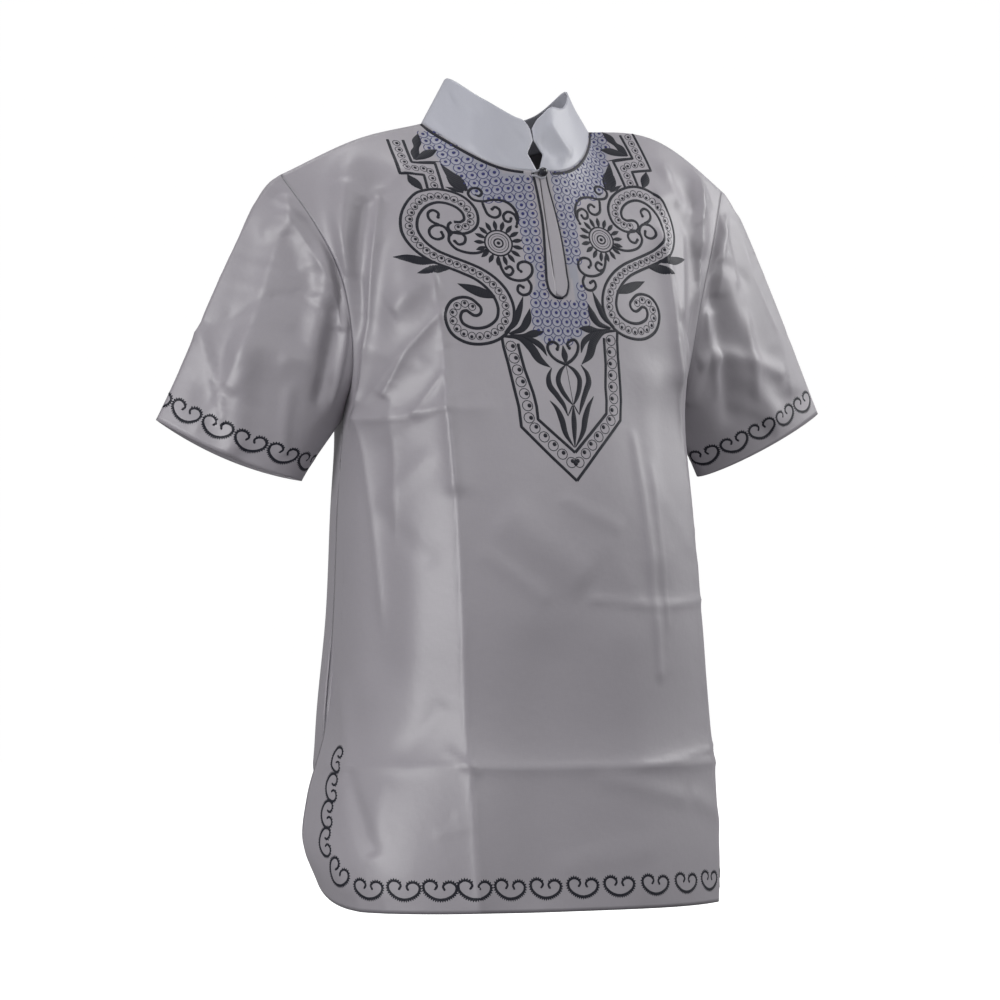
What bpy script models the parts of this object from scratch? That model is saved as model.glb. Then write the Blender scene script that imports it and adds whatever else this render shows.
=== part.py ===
"""A short-sleeved dashiki shirt, filled out as if worn, built from its cut pieces.

Metres, +Z up, the front towards -Y and the wearer's right hand towards -X. The origin
is on the shoulder line, midway between the two ends of the shoulder seams at the neck.
Each cloth piece is a wall between an outer and an inner surface. The front and back are
lofts through half-sections, from the hem up to the shoulder seam and the neckline, and
the sleeves are lofts from the armholes to the flattened cuffs.
"""

from collections import namedtuple
import math

import bmesh
import bpy
from mathutils import Matrix, Vector
import numpy as np

CM = 0.01
CLOTH = 0.0012
COLLAR_CLOTH = 0.0018
PLACKET_CLOTH = 0.0010
SEAM_GAP = 0.0003
SLIT_GAP = 0.0012

# A body panel's grid: half-width columns from the centre line, and rows from the hem up
COLUMNS = 16
NECK_COLUMN = 6
ROWS = 34
VENT_ROW = 7
ARMPIT_ROW = 20
SLIT_ROW = 28
SLEEVE_ROWS = 10
COLLAR_ROWS = 4
# Points measured along a ring's curve to space its columns evenly
RING_SAMPLES = 241

# Rings below the armpit, in cm: the centre line's depth and height on the shirt, its
# height in the cut, and the two side edges, named for the wearer's right and left. Each
# edge has its place, how square the half-section is and where its rounding starts
Ring = namedtuple("Ring", "row centre_y centre_z cut_q right left")
Edge = namedtuple("Edge", "x y z square corner")
FRONT_RINGS = (
    Ring(0.0, -20.6, -77.3, -79.9, Edge(22.3, -4.8, -73.4, 2.9, 0.68),
         Edge(19.3, 0.6, -73.0, 2.8, 0.80)),
    Ring(1.5, -20.2, -73.8, -76.4, Edge(23.1, -4.0, -71.4, 2.9, 0.56),
         Edge(19.6, 0.2, -70.8, 2.75, 0.65)),
    Ring(4.0, -19.5, -67.9, -70.5, Edge(22.2, -2.6, -66.8, 2.75, 0.30),
         Edge(19.7, -0.4, -66.4, 2.6, 0.30)),
    Ring(7.0, -18.6, -61.0, -63.6, Edge(19.9, -1.2, -60.8, 2.5, 0.0),
         Edge(19.5, -1.2, -60.8, 2.4, 0.0)),
    Ring(12.0, -17.9, -48.6, -51.1, Edge(18.8, -0.9, -48.8, 2.4, 0.0),
         Edge(18.8, -0.9, -48.8, 2.3, 0.0)),
    Ring(16.0, -17.0, -38.8, -41.2, Edge(18.5, -1.1, -39.2, 2.2, 0.0),
         Edge(18.5, -1.1, -39.2, 2.1, 0.0)),
    Ring(20.0, -15.2, -29.6, -31.8, Edge(18.1, -1.6, -30.0, 2.05, 0.0),
         Edge(18.1, -1.6, -30.0, 1.95, 0.0)),
)
BACK_RINGS = (
    Ring(0.0, 10.8, -77.9, -79.9, Edge(17.2, 3.6, -72.6, 2.4, 0.68),
         Edge(17.6, 3.6, -73.8, 2.4, 0.80)),
    Ring(1.5, 10.7, -74.2, -76.4, Edge(18.2, 3.0, -70.4, 2.4, 0.56),
         Edge(18.6, 3.0, -71.2, 2.4, 0.65)),
    Ring(4.0, 10.4, -68.2, -70.5, Edge(19.2, 1.2, -66.4, 2.4, 0.30),
         Edge(19.3, 1.2, -66.6, 2.4, 0.30)),
    Ring(7.0, 10.1, -61.0, -63.6, Edge(19.9, -1.2, -60.8, 2.4, 0.0),
         Edge(19.5, -1.2, -60.8, 2.4, 0.0)),
    Ring(12.0, 9.5, -48.6, -51.1, Edge(18.8, -0.9, -48.8, 2.35, 0.0),
         Edge(18.8, -0.9, -48.8, 2.35, 0.0)),
    Ring(16.0, 9.2, -38.8, -41.2, Edge(18.5, -1.1, -39.2, 2.3, 0.0),
         Edge(18.5, -1.1, -39.2, 2.3, 0.0)),
    Ring(20.0, 9.4, -29.6, -31.8, Edge(18.1, -1.6, -30.0, 2.3, 0.0),
         Edge(18.1, -1.6, -30.0, 2.3, 0.0)),
)

# Yoke levels above the armpit, in cm: column, x, y, z on the shirt, then p, q in the cut
FRONT_YOKE = {
    23: ((0, 0.0, -13.7, -24.3, 0.0, -26.4), (6, 8.9, -12.6, -24.4, 9.0, -26.4),
         (11, 14.9, -9.6, -24.8, 15.8, -26.4), (16, 18.2, -4.4, -25.6, 21.8, -27.4)),
    27: ((0, 0.0, -11.9, -17.2, 0.0, -19.1), (6, 8.5, -11.0, -17.2, 8.6, -19.1),
         (11, 15.0, -9.0, -17.3, 15.4, -19.1), (16, 19.4, -5.2, -17.6, 21.2, -19.0)),
    31: ((0, 0.0, -9.5, -10.0, 0.0, -11.7), (6, 8.6, -6.9, -7.4, 8.6, -8.2),
         (11, 15.6, -5.6, -8.0, 15.8, -8.6), (16, 21.8, -3.4, -11.2, 22.6, -12.0)),
    34: ((0, 0.0, -8.0, -5.6, 0.0, -7.0), (2, 3.6, -7.2, -5.2, 3.6, -6.4),
         (4, 6.6, -4.6, -3.3, 6.6, -3.8), (5, 8.0, -2.5, -1.9, 8.0, -2.0),
         (6, 9.1, -0.3, -0.5, 9.1, 0.0), (11, 16.4, -0.7, -2.5, 16.6, -2.2),
         (16, 24.2, -0.4, -6.3, 25.0, -6.8)),
}
BACK_YOKE = {
    23: ((0, 0.0, 9.8, -23.6, 0.0, -25.2), (6, 8.8, 9.3, -23.6, 9.0, -25.2),
         (11, 14.8, 7.4, -24.0, 15.8, -25.4), (16, 18.2, 2.8, -25.4, 21.8, -26.6)),
    27: ((0, 0.0, 9.9, -15.6, 0.0, -17.2), (6, 8.4, 9.6, -15.4, 8.4, -17.0),
         (11, 15.0, 8.6, -15.8, 15.6, -17.4), (16, 20.4, 6.0, -17.4, 22.0, -18.6)),
    31: ((0, 0.0, 8.4, -7.6, 0.0, -8.8), (6, 8.6, 7.2, -5.0, 8.4, -6.4),
         (11, 15.8, 6.6, -6.8, 16.0, -8.6), (16, 22.8, 5.6, -10.2, 23.8, -11.6)),
    33: ((0, 0.0, 7.4, -4.6, 0.0, -5.8), (2, 3.8, 7.0, -4.0, 3.8, -5.1),
         (4, 7.0, 5.6, -2.7, 7.0, -3.5), (6, 9.6, 2.8, -1.2, 9.2, -0.8),
         (11, 16.4, 2.4, -2.9, 16.5, -2.0), (16, 24.0, 2.6, -6.7, 24.7, -6.2)),
    34: ((0, 0.0, 6.4, -3.2, 0.0, -4.2), (2, 4.2, 5.8, -2.7, 4.2, -3.6),
         (4, 7.6, 3.8, -1.5, 7.5, -1.7), (5, 8.7, 1.9, -0.9, 8.4, 0.4),
         (6, 9.1, -0.3, -0.5, 8.8, 2.6), (11, 16.4, -0.7, -2.5, 16.6, 0.9),
         (16, 24.2, -0.4, -6.3, 25.0, -3.6)),
}

# The collar's top edge in cm, by steps from its front end to the centre back: x, y, z
COLLAR_TOP = (
    (0, 0.0, -6.3, -0.6), (3, 4.4, -4.5, 1.5), (6, 6.5, -0.2, 3.8),
    (9, 4.7, 3.8, 1.5), (12, 0.0, 5.2, 0.2),
)
COLLAR_STEPS = 12
# Half of the diamond gap between the collar's ends, in cm, by share of the collar's height
COLLAR_ENDS = ((0.0, 0.10), (0.40, 0.75), (0.82, 0.12), (1.0, 0.10))

# A sleeve, in cm: the cuff's outer fold and inner corner, how far its two layers swell,
# how far its edge dips, and the lean of the sleeve's length
Sleeve = namedtuple("Sleeve", "side outer inner front_swell back_swell dip axis reach")
SLEEVES = {
    "sleeve_right": Sleeve(-1, (36.3, 1.5, -30.4), (22.0, -0.6, -36.2), 3.4, 2.2, 0.8,
                           (0.44, 0.10, -0.89), 10.5),
    "sleeve_left": Sleeve(1, (36.4, 1.5, -28.4), (21.6, 0.0, -35.2), 2.4, 2.2, 0.0,
                          (0.46, 0.10, -0.88), 6.0),
}
HEAD_LEAN = (0.90, 0.0, -0.44)
UNDERARM_REACH = 3.5
# Shape of the swell round half of the cuff, from its inner corner to its outer fold, how
# the sleeve's lean grows round it, and how its rows crowd towards the armhole
SWELL_START = 0.55
SWELL_END = 0.85
HEAD_GROWTH = 1.3
ROW_CROWDING = 1.15
# The wearer's left shoulder stands higher, in cm, over a span of columns and from a row up
LEFT_SHOULDER_RISE = 1.5
LEFT_SHOULDER_SPAN = 11.0
LEFT_SHOULDER_ROW = 28.0
# The collar leans down towards the wearer's left, in cm per cm
COLLAR_TILT = 0.05

# Largest folds, in cm of the cut: from p, q to p, q, the half-width, the rise along the
# cloth's outward side, and whether the top of the fold is a pressed edge
Fold = namedtuple("Fold", "p q to_p to_q width rise pressed")
# Share of a fold's length over which it fades at an end, and how sharp a pressed one is
FOLD_FADE = 0.2
PRESSED_SHARPNESS = 1.4
# Columns or rows over which the folds fade at a seam, and the same along a sleeve
SEAM_FADE = 1.5
ARMHOLE_FADE = 0.12
FRONT_FOLDS = (
    Fold(-11.7, -28.0, -11.6, -84.0, 4.6, 0.95, True),
    Fold(15.0, -24.0, 17.2, -84.0, 3.6, 0.45, True),
    Fold(-33.0, -66.4, 30.0, -66.4, 2.2, 0.22, True),
    Fold(-24.0, -32.4, -8.0, -31.6, 2.2, 0.30, True),
    Fold(-19.2, -34.0, -20.8, -58.0, 3.0, -0.50, False),
    Fold(-17.8, -3.0, -21.4, -18.0, 1.6, 0.80, False),
    Fold(-15.2, -6.0, -19.4, -24.0, 1.9, -0.65, False),
    Fold(-13.0, -5.0, -15.4, -22.0, 1.8, 0.35, False),
    Fold(13.6, -13.0, 15.4, -28.0, 1.8, 0.50, True),
    Fold(20.8, -3.5, 20.2, -14.0, 1.6, 0.55, False),
    Fold(18.0, -8.0, 18.8, -24.0, 1.8, -0.45, False),
    Fold(10.4, -27.0, 9.4, -48.0, 2.2, 0.30, False),
    Fold(-7.4, -42.0, 0.6, -48.4, 2.2, 0.28, False),
    Fold(-4.0, -54.0, -6.0, -80.0, 3.2, -0.30, False),
    Fold(4.5, -52.0, 6.0, -80.0, 3.4, 0.25, False),
)
BACK_FOLDS = (
    Fold(-11.7, -10.0, -11.7, -84.0, 3.6, 0.45, True),
    Fold(11.7, -10.0, 11.7, -84.0, 3.6, 0.55, True),
    Fold(-30.0, -66.4, 30.0, -66.4, 2.2, 0.22, True),
    Fold(-26.0, -32.0, 26.0, -32.0, 2.2, 0.20, True),
    Fold(17.0, -9.0, 8.0, -30.0, 2.2, 0.40, False),
    Fold(-17.5, -9.0, -9.0, -28.0, 2.2, 0.45, False),
    Fold(19.5, -16.0, 15.0, -40.0, 2.0, -0.45, False),
    Fold(-19.5, -16.0, -15.0, -38.0, 2.0, -0.45, False),
    Fold(3.0, -40.0, 5.0, -80.0, 3.6, -0.35, False),
    Fold(-4.5, -36.0, -5.5, -80.0, 3.4, 0.30, False),
)

# Folds of a sleeve by its own shares: around from the underarm over the front, 0 to 1,
# and along from the armhole to the cuff, with the half-width and rise in cm
SleeveFold = namedtuple("SleeveFold", "round along to_round to_along width rise")
SLEEVE_LENGTH = 21.0
SLEEVE_ROUND = 42.0
SLEEVE_FOLDS = {
    "sleeve_right": (
        SleeveFold(0.34, 0.02, 0.22, 0.42, 1.5, 0.55),
        SleeveFold(0.26, 0.02, 0.14, 0.50, 1.5, -0.45),
        SleeveFold(0.40, 0.66, 0.16, 0.46, 1.6, 0.50),
        SleeveFold(0.38, 0.60, 0.26, 0.98, 1.6, 0.50),
        SleeveFold(0.46, 0.30, 0.40, 0.90, 1.8, -0.30),
        SleeveFold(0.70, 0.05, 0.80, 0.70, 1.8, 0.45),
        SleeveFold(0.84, 0.10, 0.72, 0.80, 1.8, -0.40),
    ),
    "sleeve_left": (
        SleeveFold(0.38, 0.04, 0.30, 0.70, 1.8, 0.45),
        SleeveFold(0.30, 0.10, 0.16, 0.70, 1.6, -0.40),
        SleeveFold(0.20, 0.35, 0.32, 0.92, 1.6, 0.40),
        SleeveFold(0.68, 0.05, 0.80, 0.75, 1.8, 0.45),
        SleeveFold(0.82, 0.15, 0.70, 0.85, 1.8, -0.40),
    ),
}

# Placket strip, in cm: its half-width at the top and bottom, and its first and last rows
PLACKET_TOP_HALF = 0.55
PLACKET_LOW_HALF = 1.05
PLACKET_LOW_ROW = 26.4
PLACKET_TOP_ROW = 33.3
PLACKET_ROWS = 12
PLACKET_TIP_SHARE = 0.45

# Rows of the front round the button
BUTTON_AT_ROWS = (33.4, 33.75, 34.0)
BUTTON_RADIUS = 0.0046
BUTTON_SINK = 0.95
BUTTON_RINGS = 11
BUTTON_SHANK_RADIUS = 0.0013
BUTTON_SHANK_HEIGHT = 0.0016
BUTTON_ASIDE = 0.0022
LOOP_RADIUS = 0.0011
LOOP_TURN_RADIUS = 0.0044
LOOP_TAIL = 0.0100
LOOP_MOUTH = 0.0018
LOOP_TURN = math.radians(140)
LOOP_POINTS = 17

CLOTH_COLOUR = (0.33, 0.32, 0.36, 1.0)
COLLAR_COLOUR = (0.52, 0.53, 0.62, 1.0)
BUTTON_COLOUR = (0.03, 0.03, 0.04, 1.0)


def cubic_through(knots, values, at):
    """Values on a smooth curve through the knots, with slopes from their neighbours."""
    knots = np.asarray(knots, float)
    values = np.asarray(values, float)
    steps = np.diff(knots).reshape(-1, *[1] * (values.ndim - 1))
    chords = np.diff(values, axis=0) / steps
    slopes = np.empty_like(values)
    slopes[1:-1] = (chords[:-1] * steps[1:] + chords[1:] * steps[:-1]) / (
        steps[1:] + steps[:-1]
    )
    slopes[0] = chords[0]
    slopes[-1] = chords[-1]
    at = np.asarray(at, float)
    i = np.clip(np.searchsorted(knots, at, side="right") - 1, 0, len(knots) - 2)
    width = (knots[i + 1] - knots[i]).reshape(-1, *[1] * (values.ndim - 1))
    t = ((at - knots[i]) / (knots[i + 1] - knots[i])).reshape(width.shape)
    return (
        values[i] * (1 + 2 * t) * (1 - t) ** 2
        + slopes[i] * width * t * (1 - t) ** 2
        + values[i + 1] * t * t * (3 - 2 * t)
        + slopes[i + 1] * width * t * t * (t - 1)
    )


def mirrored_through(marks, at):
    """Values at these columns of a row of marks that is mirrored at the centre line."""
    marks = np.asarray(marks, float)
    signs = np.ones(marks.shape[1])
    signs[0] = -1
    signs[1] = -1
    if marks.shape[1] > 4:
        signs[4] = -1
    whole = np.concatenate([marks[1:][::-1] * signs, marks])
    return cubic_through(whole[:, 0], whole[:, 1:], at)


def ring_points(ring, edge, at):
    """Points x, y, z, p, q at these columns of a half-section below the armpit."""
    turn = np.linspace(0, math.pi / 2, RING_SAMPLES)
    across = np.sin(turn) ** (2 / edge.square)
    forward = np.cos(turn) ** (2 / edge.square)
    x = edge.x * across
    y = edge.y + (ring.centre_y - edge.y) * forward
    along = np.concatenate([[0], np.cumsum(np.hypot(np.diff(x), np.diff(y)))])
    share = np.asarray(at, float) / COLUMNS
    length = share * along[-1]
    bend = np.clip((share - edge.corner) / (1 - edge.corner), 0, 1)
    lift = (edge.z - ring.centre_z) * (1 - np.sqrt(1 - bend**2))
    return np.stack(
        [
            np.interp(length, along, x),
            np.interp(length, along, y),
            ring.centre_z + lift,
            length,
            ring.cut_q + lift,
        ],
        axis=1,
    )


def yoke_points(marks, at):
    """Points x, y, z, p, q at these columns of a level above the armpit."""
    neck_marks = [mark for mark in marks if mark[0] <= NECK_COLUMN]
    if len(neck_marks) < 3:
        return mirrored_through(marks, at)
    shoulder = np.array([mark for mark in marks if mark[0] >= NECK_COLUMN], float)
    inner = mirrored_through(neck_marks, at)
    outer = cubic_through(shoulder[:, 0], shoulder[:, 1:], at)
    return np.where((np.asarray(at) <= NECK_COLUMN)[:, None], inner, outer)


def panel_form(rings, yoke, columns, rows):
    """A panel's smooth form: x, y, z, p, q in cm for each row and signed column."""
    distance = np.abs(columns)
    to_right = (np.asarray(columns) < 0)[:, None]
    levels = []
    for ring in rings:
        right = ring_points(ring, ring.right, distance)
        left = ring_points(ring, ring.left, distance)
        levels.append((ring.row, np.where(to_right, right, left)))
    levels += [(row, yoke_points(marks, distance)) for row, marks in yoke.items()]
    form = cubic_through([row for row, _ in levels], [at for _, at in levels], rows)
    beyond_neck = np.clip((np.asarray(columns) - NECK_COLUMN) / LEFT_SHOULDER_SPAN, 0, 1)
    near_seam = (np.asarray(rows) - LEFT_SHOULDER_ROW) / (ROWS - LEFT_SHOULDER_ROW)
    raised = np.sin(math.pi * beyond_neck)[None, :] * smooth_step(near_seam)[:, None]
    form[:, :, 2] += LEFT_SHOULDER_RISE * raised
    side = np.where(np.asarray(columns) < 0, -1.0, 1.0)
    form[:, :, 0] *= side
    form[:, :, 3] *= side
    return form


def grid_normals(points, outward, closed=False):
    """Unit normals of a grid of points; outward is 1 or -1, closed joins the columns."""
    down_rows = np.gradient(points, axis=0)
    if closed:
        across = np.roll(points, -1, axis=1) - np.roll(points, 1, axis=1)
    else:
        across = np.gradient(points, axis=1)
    normals = np.cross(across, down_rows) * outward
    return normals / np.maximum(np.linalg.norm(normals, axis=2, keepdims=True), 1e-12)


def smooth_step(share):
    """0 to 1 with level ends."""
    share = np.clip(share, 0, 1)
    return share * share * (3 - 2 * share)


def hump(share, start, end):
    """0 at both ends and 1 at the top, with these powers at the start and the end."""
    top = start / (start + end)
    return (share / top) ** start * ((1 - share) / (1 - top)) ** end


def fold_rise(folds, p, q):
    """How far the folds lift the cloth at p, q in the cut, all in cm."""
    rise = np.zeros_like(p)
    for fold in folds:
        run_p = fold.to_p - fold.p
        run_q = fold.to_q - fold.q
        length = math.hypot(run_p, run_q)
        along = ((p - fold.p) * run_p + (q - fold.q) * run_q) / length**2
        off = np.abs((p - fold.p) * run_q - (q - fold.q) * run_p) / length / fold.width
        ends = smooth_step(np.minimum(along, 1 - along) / FOLD_FADE + 0.5)
        pressed = np.exp(-PRESSED_SHARPNESS * off)
        shape = pressed if fold.pressed else np.exp(-(off**2))
        rise += fold.rise * ends * shape
    return rise


def folded_panel(rings, yoke, folds, columns, rows, outward):
    """A panel with its folds, level at the seams; metres for the points and the cut."""
    form = panel_form(rings, yoke, columns, rows)
    normals = grid_normals(form[:, :, :3], outward)
    from_side = (COLUMNS - np.abs(columns)) / SEAM_FADE
    from_top = (ROWS - np.asarray(rows)) / SEAM_FADE
    free = smooth_step(from_side)[None, :] * smooth_step(from_top)[:, None]
    rise = fold_rise(folds, form[:, :, 3], form[:, :, 4]) * free
    form[:, :, :3] += normals * rise[:, :, None]
    return form * CM


def join_side_seams(front, back, columns, rows):
    """Give both panels the same side seam from the vent's top to the armpit."""
    seam = (np.asarray(rows) >= VENT_ROW) & (np.asarray(rows) <= ARMPIT_ROW)
    for edge in (0, -1):
        middle = (front[seam, edge] + back[seam, edge]) / 2
        front[seam, edge] = middle
        back[seam, edge] = middle


def sleeve_points(sleeve, sleeve_folds, armhole, shares):
    """Rings of a sleeve from its armhole ring, which runs from the armpit over the front."""
    count = len(armhole)
    half = count // 2
    outer = np.array(sleeve.outer) * [sleeve.side, 1, 1]
    inner = np.array(sleeve.inner) * [sleeve.side, 1, 1]
    axis = np.array(sleeve.axis) * [sleeve.side, 1, 1]
    lean = np.array(HEAD_LEAN) * [sleeve.side, 1, 1]
    width = outer - inner
    backward = np.cross(width, axis) * sleeve.side
    backward /= np.linalg.norm(backward)
    index = np.arange(count)
    to_fold = np.where(index <= half, index, count - index) / half
    swell = hump(to_fold, SWELL_START, SWELL_END)
    reach = np.where(index <= half, -sleeve.front_swell, sleeve.back_swell) * swell
    cuff = inner + width * to_fold[:, None] + backward * reach[:, None]
    cuff -= np.array([0, 0, 1]) * (sleeve.dip * 4 * to_fold * (1 - to_fold))[:, None]
    start = armhole / CM
    chord = np.linalg.norm(cuff - start, axis=1)[:, None]
    height = (to_fold**HEAD_GROWTH)[:, None]
    leave = axis * (1 - height) + lean * height
    leave *= UNDERARM_REACH + (sleeve.reach - UNDERARM_REACH) * height
    arrive = axis / np.linalg.norm(axis) * chord
    t = np.asarray(shares, float)[:, None, None]
    rings = (
        start * (1 + 2 * t) * (1 - t) ** 2
        + leave * t * (1 - t) ** 2
        + cuff * t * t * (3 - 2 * t)
        + arrive * t * t * (t - 1)
    )
    around = np.broadcast_to(index / count, rings.shape[:2]) * SLEEVE_ROUND
    along = np.broadcast_to(t[:, :, 0], rings.shape[:2]) * SLEEVE_LENGTH
    folds = [
        Fold(
            -fold.round * SLEEVE_ROUND, fold.along * SLEEVE_LENGTH,
            -fold.to_round * SLEEVE_ROUND, fold.to_along * SLEEVE_LENGTH,
            fold.width, fold.rise, False,
        )
        for fold in sleeve_folds
    ]
    free = smooth_step(along / SLEEVE_LENGTH / ARMHOLE_FADE)
    rise = fold_rise(folds, -around, along) * free
    rings += grid_normals(rings, -sleeve.side, closed=True) * rise[:, :, None]
    return rings * CM


def armhole_ring(front, back, rows, edge):
    """The armhole from the armpit up the front's edge and down the back's."""
    above = np.asarray(rows) >= ARMPIT_ROW
    up = front[above, edge, :3]
    down = back[above, edge, :3][::-1]
    return np.concatenate([up, down[1:-1]])


def collar_points(front, back, columns, heights):
    """The collar from one front end round the back to the other, by share of height."""
    inside = np.abs(columns) <= NECK_COLUMN
    near = np.asarray(columns)[inside]
    left = near <= 0
    right = near >= 0
    neck_front = front[-1, inside, :3]
    neck_back = back[-1, inside, :3]
    base = np.concatenate(
        [neck_front[left][::-1], neck_back[1:-1], neck_front[right][::-1]]
    )
    across = np.linspace(-1, 1, len(base))
    marks = np.array(COLLAR_TOP)
    flip = np.array([-1, -1, 1, 1])
    beyond = marks[:-1][::-1] * flip + np.array([2 * COLLAR_STEPS, 0, 0, 0])
    ring = np.concatenate([marks[1:][::-1] * flip, marks, beyond])
    steps = COLLAR_STEPS * (1 - np.abs(across))
    top = cubic_through(ring[:, 0], ring[:, 1:], steps) * CM
    top[:, 0] *= np.sign(across)
    top[:, 2] -= COLLAR_TILT * top[:, 0]
    rows = []
    for height in heights:
        rows.append(base * (1 - height) + top * height)
    grid = np.array(rows)
    apart = np.interp(heights, *zip(*COLLAR_ENDS)) * CM
    grid[:, 0, 0] = -apart
    grid[:, -1, 0] = apart
    return grid


def shared_normals(pieces):
    """Give pieces that meet at a seam the same normals there, so that it is mitred.

    Where the pieces fold back on each other, each keeps its own.
    """
    totals = {}
    keys = {}
    split = set()
    for name, piece in pieces.items():
        keys[name] = [tuple(at) for at in np.round(piece["points"].reshape(-1, 3), 5)]
        for key, normal in zip(keys[name], piece["normals"].reshape(-1, 3)):
            totals[key] = totals.get(key, 0) + normal
    for name, piece in pieces.items():
        own = piece["normals"].reshape(-1, 3)
        shared = np.array([totals[key] for key in keys[name]])
        shared /= np.maximum(np.linalg.norm(shared, axis=1, keepdims=True), 1e-9)
        piece["shared"] = shared
        steep = (own * shared).sum(axis=1) < 0.5
        split.update(keys[name][i] for i in np.flatnonzero(steep))
    for name, piece in pieces.items():
        parted = np.array([key in split for key in keys[name]])[:, None]
        own = piece["normals"].reshape(-1, 3)
        normals = np.where(parted, own, piece["shared"])
        piece["normals"] = normals.reshape(piece["normals"].shape)


def pull_back_edges(points, closed, pull):
    """Move a grid's edge points inwards over the cloth, to leave half of a seam's gap."""
    moved = points.copy()

    def inward(edge, inside):
        step = points[inside] - points[edge]
        return step / np.linalg.norm(step, axis=-1, keepdims=True) * pull

    moved[0] += inward(0, 1)
    moved[-1] += inward(-1, -2)
    if not closed:
        moved[:, 0] += inward((slice(None), 0), (slice(None), 1))
        moved[:, -1] += inward((slice(None), -1), (slice(None), -2))
    return moved


def wall(name, outer, inner, closed=False, slit_row=None):
    """A closed wall between two grids, a loft between unlike sections.

    closed joins the last column to the first. Above slit_row the middle column is
    double, and a narrow slit parts its two copies.
    """
    rows, columns = outer.shape[:2]
    middle = columns // 2
    mesh = bpy.data.meshes.new(name)
    bm = bmesh.new()
    layers = []
    for grid in (outer, inner):
        layer = [[bm.verts.new(at) for at in row] for row in grid]
        twin = [row[middle] for row in layer]
        if slit_row is not None:
            for r in range(slit_row + 1, rows):
                twin[r] = bm.verts.new(layer[r][middle].co)
                twin[r].co.x += SLIT_GAP / 2
                layer[r][middle].co.x -= SLIT_GAP / 2
        layers.append((layer, twin))

    def corner(side, row, column, to_right):
        layer, twin = layers[side]
        column %= columns
        if column == middle and to_right:
            return twin[row]
        return layer[row][column]

    spans = columns if closed else columns - 1
    for r in range(rows - 1):
        for c in range(spans):
            for side in (0, 1):
                face = [
                    corner(side, r, c, True),
                    corner(side, r, c + 1, False),
                    corner(side, r + 1, c + 1, False),
                    corner(side, r + 1, c, True),
                ]
                bm.faces.new(face if side == 0 else face[::-1])
    open_edges = [edge for edge in bm.edges if edge.is_boundary]
    partner = {}
    for out_row, in_row in zip(layers[0][0] + [layers[0][1]], layers[1][0] + [layers[1][1]]):
        partner.update(zip(out_row, in_row))
    for edge in open_edges:
        start, end = edge.verts
        if start in partner and end in partner:
            bm.faces.new((start, end, partner[end], partner[start]))
    bmesh.ops.recalc_face_normals(bm, faces=bm.faces)
    bmesh.ops.triangulate(bm, faces=bm.faces)
    bm.to_mesh(mesh)
    bm.free()
    mesh.shade_smooth()
    mesh.set_sharp_from_angle(angle=math.radians(50))
    return bpy.data.objects.new(name, mesh)


def body_panels(columns, rows):
    """The front and the back as grids in metres, with a common side seam."""
    front = folded_panel(FRONT_RINGS, FRONT_YOKE, FRONT_FOLDS, columns, rows, 1)
    back = folded_panel(BACK_RINGS, BACK_YOKE, BACK_FOLDS, columns, rows, -1)
    join_side_seams(front, back, columns, rows)
    return front, back


def cloth_pieces(fineness=1):
    """Grids and shared normals of the front, back, sleeves and collar."""
    columns = np.linspace(-COLUMNS, COLUMNS, 2 * COLUMNS * fineness + 1)
    rows = np.linspace(0, ROWS, ROWS * fineness + 1)
    front, back = body_panels(columns, rows)
    pieces = {
        "front": {"points": front[:, :, :3], "outward": 1, "closed": False},
        "back": {"points": back[:, :, :3], "outward": -1, "closed": False},
    }
    shares = np.linspace(0, 1, SLEEVE_ROWS * fineness + 1) ** ROW_CROWDING
    for name, sleeve in SLEEVES.items():
        edge = 0 if sleeve.side < 0 else -1
        ring = armhole_ring(front, back, rows, edge)
        rings = sleeve_points(sleeve, SLEEVE_FOLDS[name], ring, shares)
        pieces[name] = {"points": rings, "outward": -sleeve.side, "closed": True}
    heights = np.linspace(0, 1, COLLAR_ROWS * fineness + 1)
    band = collar_points(front, back, columns, heights)
    pieces["collar"] = {"points": band, "outward": -1, "closed": False}
    for piece in pieces.values():
        piece["normals"] = grid_normals(piece["points"], piece["outward"], piece["closed"])
    shared_normals(pieces)
    return pieces


def cloth_wall(name, piece, thickness, slit_row=None):
    """One cloth piece as a wall, its outer side on the grid."""
    pull = SEAM_GAP if name == "collar" else SEAM_GAP / 2
    outer = pull_back_edges(piece["points"], piece["closed"], pull)
    inner = outer - piece["normals"] * thickness
    return wall(name, outer, inner, piece["closed"], slit_row)


def make_placket():
    """The strip round the slit, made from the front's points, moved out."""
    rows = np.linspace(PLACKET_LOW_ROW, PLACKET_TOP_ROW, PLACKET_ROWS + 1)
    share = np.linspace(0, 1, PLACKET_ROWS + 1)
    half = PLACKET_LOW_HALF + (PLACKET_TOP_HALF - PLACKET_LOW_HALF) * share
    half[0] *= PLACKET_TIP_SHARE
    points = []
    for row, reach in zip(rows, half):
        column_width = panel_form(FRONT_RINGS, FRONT_YOKE, np.array([1.0]), [row])[0, 0, 3]
        columns = np.linspace(-reach, reach, 5) / column_width
        points.append(panel_form(FRONT_RINGS, FRONT_YOKE, columns, [row])[0, :, :3] * CM)
    points = np.array(points)
    normals = grid_normals(points, 1)
    inner = points + normals * SEAM_GAP
    outer = points + normals * (SEAM_GAP + PLACKET_CLOTH)
    slit_row = int(np.searchsorted(rows, SLIT_ROW))
    return wall("placket", outer, inner, slit_row=slit_row)


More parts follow.
